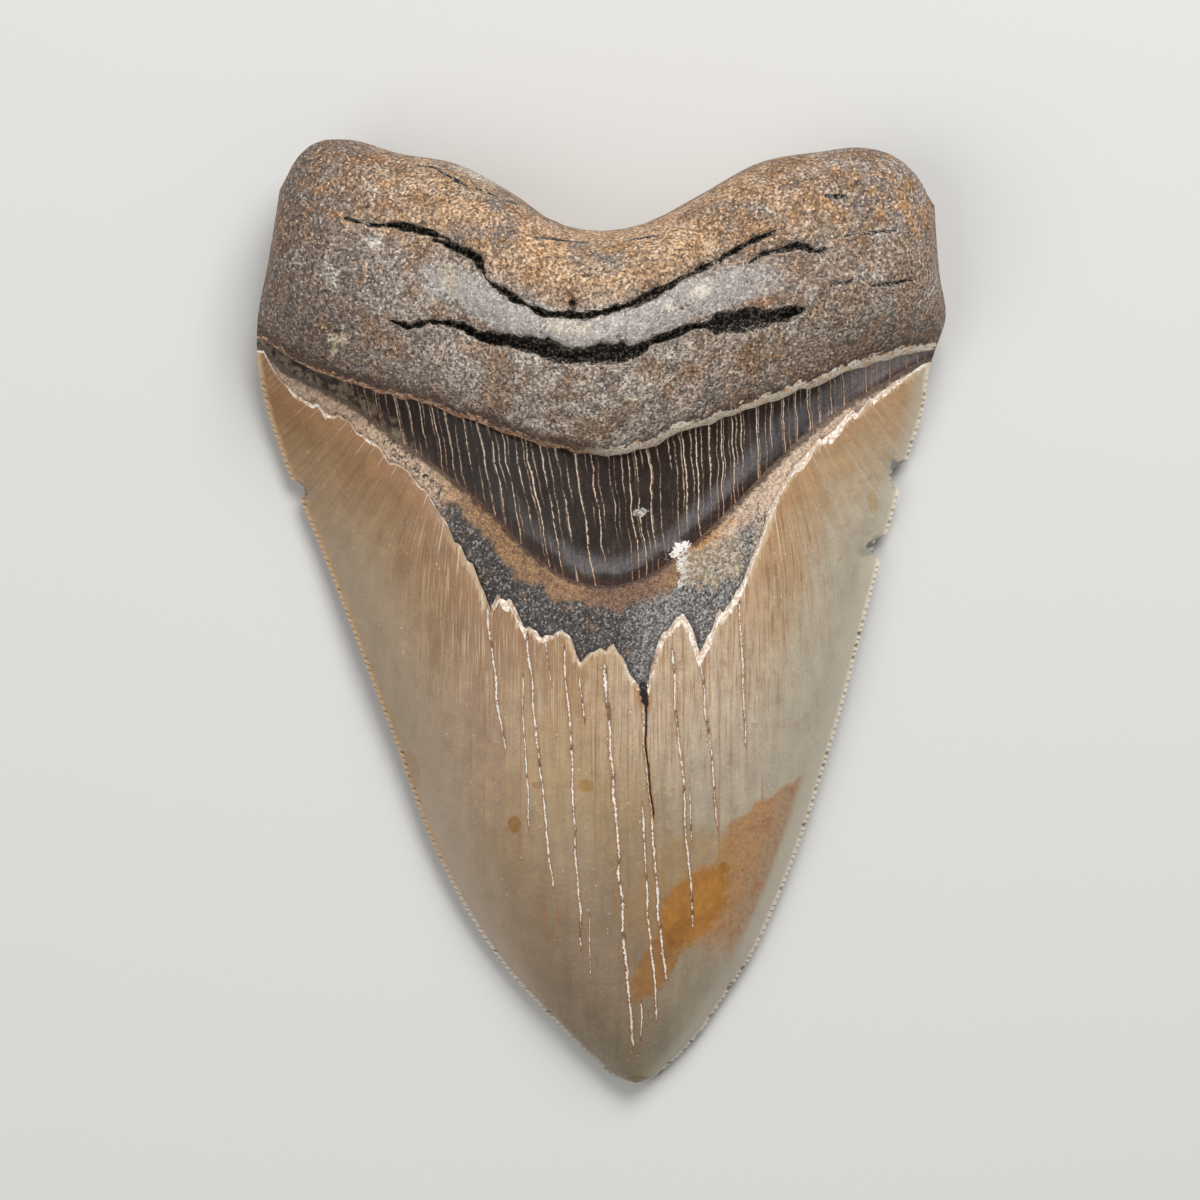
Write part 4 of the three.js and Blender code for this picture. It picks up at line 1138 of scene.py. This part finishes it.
def glossy_enamel():
    """Fossil enamel: glossy khaki, tan along its growth lines, with long cracks and mineral stains."""
    on = Canvas("glossy_enamel", "b7aa94")
    tree, x, y, edge_mm, lingual = on.tree, on.x, on.y, on.edge_mm, on.lingual
    clouds, blots, fine, specks = on.clouds(9, 3), on.clouds(2.6, 3), on.clouds(0.6, 2), on.clouds(0.35, 1)
    spread = add(tree, "Math", {0: on.growth_mm}, operation="ABSOLUTE").outputs[0]
    fan = add(tree, "CombineXYZ", {0: on.growth_mm, 1: y}).outputs[0]
    lines, pale_lines, broad, runs, bands = (
        on.clouds(1, detail, (1 / width, 1 / length, 0), fan) for width, length, detail in STREAKS
    )
    # Browner and darker towards the left: partly the enamel's own tone, partly painted shade on the left
    # flank, which faces away from the key light.
    on.lay("a2835f", (x, 6, -14), most=0.9)
    on.lay("b0905f", (spread, 18, 9), (y, -46, -20), (x, 13, 2), most=0.8)
    on.lay("a68a70", (x, -6, -18), (y, -2, -16), (clouds, 0.3, 0.5), most=0.85)
    # The darker gold on the left is partly painted shade as well.
    gold = paint(tree, linear("b58f64"), "8b6439", (x, 6, -12))
    reach = ragged(tree, ragged(tree, ragged(tree, on.rim_mm, broad, 12), lines, 10), clouds, 6)
    on.lay(gold, (reach, 12, 1), most=0.85)
    on.lay("cbb9a3", (spread, 22, 14), (x, -4, 4), (reach, 18, 6), most=0.6)
    on.lay("7c6246", (y, -8, -46), (x, 26, 6), (x, -22, -4), most=0.75)
    on.lay("968b73", (y, -34, -56), (x, 1, 10), most=0.8)
    on.lay("7d725c", (y, -48, -58), most=0.6)
    near = ragged(tree, on.rim_mm, broad, 20)
    on.lay("93602f", (lines, 0.5, 0.62), (near, 18, 4), (spread, 34, 24), most=0.55)
    on.lay("d3c2a4", (pale_lines, 0.52, 0.64), (near, 18, 4), (spread, 34, 20), most=0.5)
    seam = splits(tree, on.growth_mm, RUST_SPACING_MM)
    on.lay(
        "a06c38", (seam, 0.3, 0.05), (runs, 0.46, 0.58), (spread, 24, 16), (y, -50, -38), most=0.55,
    )
    on.lay("b98258", (ragged(tree, on.rim_mm, clouds, 8), 3, 0.5), (spread, 12, 18), most=0.3)
    on.colour = on.shade(on.colour, bands, 0.13)
    on.colour = on.shade(on.colour, on.clouds(2.2, 4), 0.13)
    on.colour = on.shade(on.colour, specks, 0.1)
    on.lay("8a6a4c", (blots, 0.58, 0.7), most=0.3)
    on.lay("7c5d38", (fine, 0.68, 0.76), most=0.5)
    on.lay("efe7da", (specks, 0.72, 0.78), (blots, 0.45, 0.6), most=0.8)
    on.lay("a8a08e", (edge_mm, 11, 3), (y, 18, 4), (y, -54, -36), most=0.4)
    on.lay("bfb7a5", (edge_mm, 3.2, 0.8), (x, 0, 12), most=0.6)
    on.lay("b8a38e", (edge_mm, 4.5, 1), (y, -14, -28), (x, -4, -12), most=0.55)
    on.lay("b5ad9c", (edge_mm, 5, 1), (y, -40, -50), (x, 4, 10), most=0.4)
    on.lay("a7784e", (edge_mm, 0.9, 0.2), (x, 0, -8), (y, -44, -28), most=0.8)
    # Lighter crests of the serrations: their own pale colour with a painted highlight.
    for code, limits in (
        ("f2e6d2", [(x, -4, 6)]),
        ("efe3cf", [(x, 4, -6), (y, -24, -40)]),
        ("dcb98c", [(x, 4, -6), (y, -40, -24)]),
    ):
        on.lay(code, (edge_mm, 0.8, 0.1), (on.notch, 0.5, 0.1), *limits, most=0.8)
    # Painted shade in the notches between the serrations.
    on.lay("54391f", (on.notch, 0.2, 0.8), most=0.9)
    slanted = add(tree, "Math", {0: x, 1: -0.65, 2: y}, operation="MULTIPLY_ADD").outputs[0]
    patch_top, patch_side = ragged(tree, slanted, blots, 3), ragged(tree, edge_mm, blots, 5)
    patch = within(
        tree, (patch_top, -36.8, -38), (edge_mm, 1.8, 3.4), (patch_side, 11.6, 9), (y, -47, -38),
        (x, 10, 14), (lingual, 0.2, 0.8),
    )
    red = paint(tree, linear("b0804f"), "a1805f", (edge_mm, 6.5, 3.5))
    red = paint(tree, red, "a3714b", (blots, 0.5, 0.62))
    red = on.shade(red, fine, 0.3)
    on.lay(red, (patch, 0, 1), most=0.85)
    on.lay("54402f", (patch, 0.3, 0.9), (fine, 0.64, 0.7), most=0.7)
    mottled = on.clouds(1, 4)
    for centre, radii, turn, code, most in ENAMEL_STAINS:
        rim = ragged(tree, oval(tree, on.flat, centre, radii, turn), mottled, 0.5)
        stain = on.shade(linear(code), mottled, 0.25)
        on.lay(stain, (rim, 1.1, 0.8), (lingual, 0.2, 0.8), most=most)
    for centre, radii, turn, code in CHIP_SPOTS:
        rim = ragged(tree, oval(tree, on.flat, centre, radii, turn), mottled, 1)
        on.lay(code, (rim, 1.1, 0.8), (lingual, 0.2, 0.8), most=0.85)
    fringe = ragged(tree, on.rim_mm, on.clouds(FIBRE_MM, 2, (1, 0.2, 0.2)), 2)
    on.lay("dcc6a2", (fringe, 0.7, 0.3), (x, -24, -13), (lingual, 0.5, 1), most=0.65)
    length = on.clouds(1, 0, (1 / SPLINTER_SPACING_MM, 0, 0), fan)
    splinter, split = ragged(tree, on.rim_mm, length, 14), splits(tree, on.growth_mm, SPLINTER_SPACING_MM)
    on.lay(
        "f3e4cf", (split, 0.11, 0.04), (splinter, 1.6, 0.6), (on.rim_mm, 5, 3), (spread, 13, 17),
        (lingual, 0.5, 1), most=0.5,
    )
    straight = ragged(tree, ragged(tree, x, on.clouds(7, 1), 1), on.clouds(0.9, 2), 0.22)
    cracks = line_cracks(tree, straight, y, ENAMEL_CRACKS)
    beaded = ragged(tree, ragged(tree, cracks, fine, 2.4), specks, 2)
    filled = on.clouds(1.8, 5)
    on.lay("a06a35", (beaded, 3.4, 1), (lingual, 0.5, 1), most=0.5)
    on.lay("5f3d20", (beaded, 1.6, 0.8), (lingual, 0.5, 1), (filled, 0.56, 0.44), most=0.7)
    on.lay("f6eee1", (beaded, 0.9, 0.5), (lingual, 0.5, 1), (filled, 0.34, 0.5), most=0.95)
    torn = ragged(tree, line_cracks(tree, straight, y, OPEN_CRACKS), fine, 1.6)
    on.lay("a8743f", (torn, 2.8, 1.2), (lingual, 0.5, 1), most=0.7)
    on.lay("17130f", (torn, 1.1, 0.8), (lingual, 0.5, 1), (filled, 0.3, 0.42))
    groove = within(tree, (beaded, 0.4, 1))
    normal = on.relief((fine, 0.015), (blots, 0.05), (lines, 0.02), (groove, 0.1))
    return on.finish(Roughness=0.34, IOR=1.6, Normal=normal)


tooth = make_tooth(
    [glossy_enamel(), broken_enamel(), grainy_dentine(), satin_bourlette(), porous_root_dentine()]
)

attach(tooth, "root")
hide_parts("tooth")


# The stage: a plain pale floor, soft studio light and the camera straight above.
IMAGE_WIDTH_MM = 153  # what the square picture shows across, at the height of the outline
VIEW_HEIGHT_MM = 5
LENS_MM = 180
SENSOR_MM = 36
VIEW_Y_MM = 1.6
FLOOR_SIZE = 4
FLOOR_GAP = 0.0001  # under the face that the tooth rests on


def make_stage():
    bpy.ops.object.select_all(action="DESELECT")
    bpy.ops.mesh.primitive_plane_add(size=FLOOR_SIZE, location=(0, 0, -FLOOR_GAP))
    floor = bpy.context.object
    floor.name = "floor"
    pale_floor = bpy.data.materials.new("pale floor")
    pale_floor.use_nodes = True
    shader = pale_floor.node_tree.nodes["Principled BSDF"]
    feed(shader, {"Base Color": linear("dad9d6"), "Roughness": 0.9})
    floor.data.materials.append(pale_floor)
    world = bpy.data.worlds.new("studio")
    world.use_nodes = True
    feed(world.node_tree.nodes["Background"], {"Color": linear("ffffff"), "Strength": 0.28})
    bpy.context.scene.world = world
    for name, place, turn, size, power in (
        ("key", (0.2, 0.5, 0.6), (-0.7, 0.3, 0), 0.45, 5.5),
        ("fill", (-0.45, -0.15, 0.65), (0.2, -0.6, 0), 0.6, 1.8),
    ):
        light = bpy.data.lights.new(name, "AREA")
        light.size = size
        light.energy = power
        lamp = bpy.data.objects.new(name, light)
        lamp.location = place
        lamp.rotation_euler = turn
        bpy.context.scene.collection.objects.link(lamp)
    camera = bpy.data.objects.new("camera", bpy.data.cameras.new("camera"))
    camera.data.lens = LENS_MM
    camera.data.sensor_width = SENSOR_MM
    distance = IMAGE_WIDTH_MM * LENS_MM / SENSOR_MM
    camera.location = (0, VIEW_Y_MM * MM, (VIEW_HEIGHT_MM + distance) * MM)
    bpy.context.scene.collection.objects.link(camera)
    bpy.context.scene.camera = camera
    bpy.context.scene.view_settings.view_transform = "Standard"


make_stage()
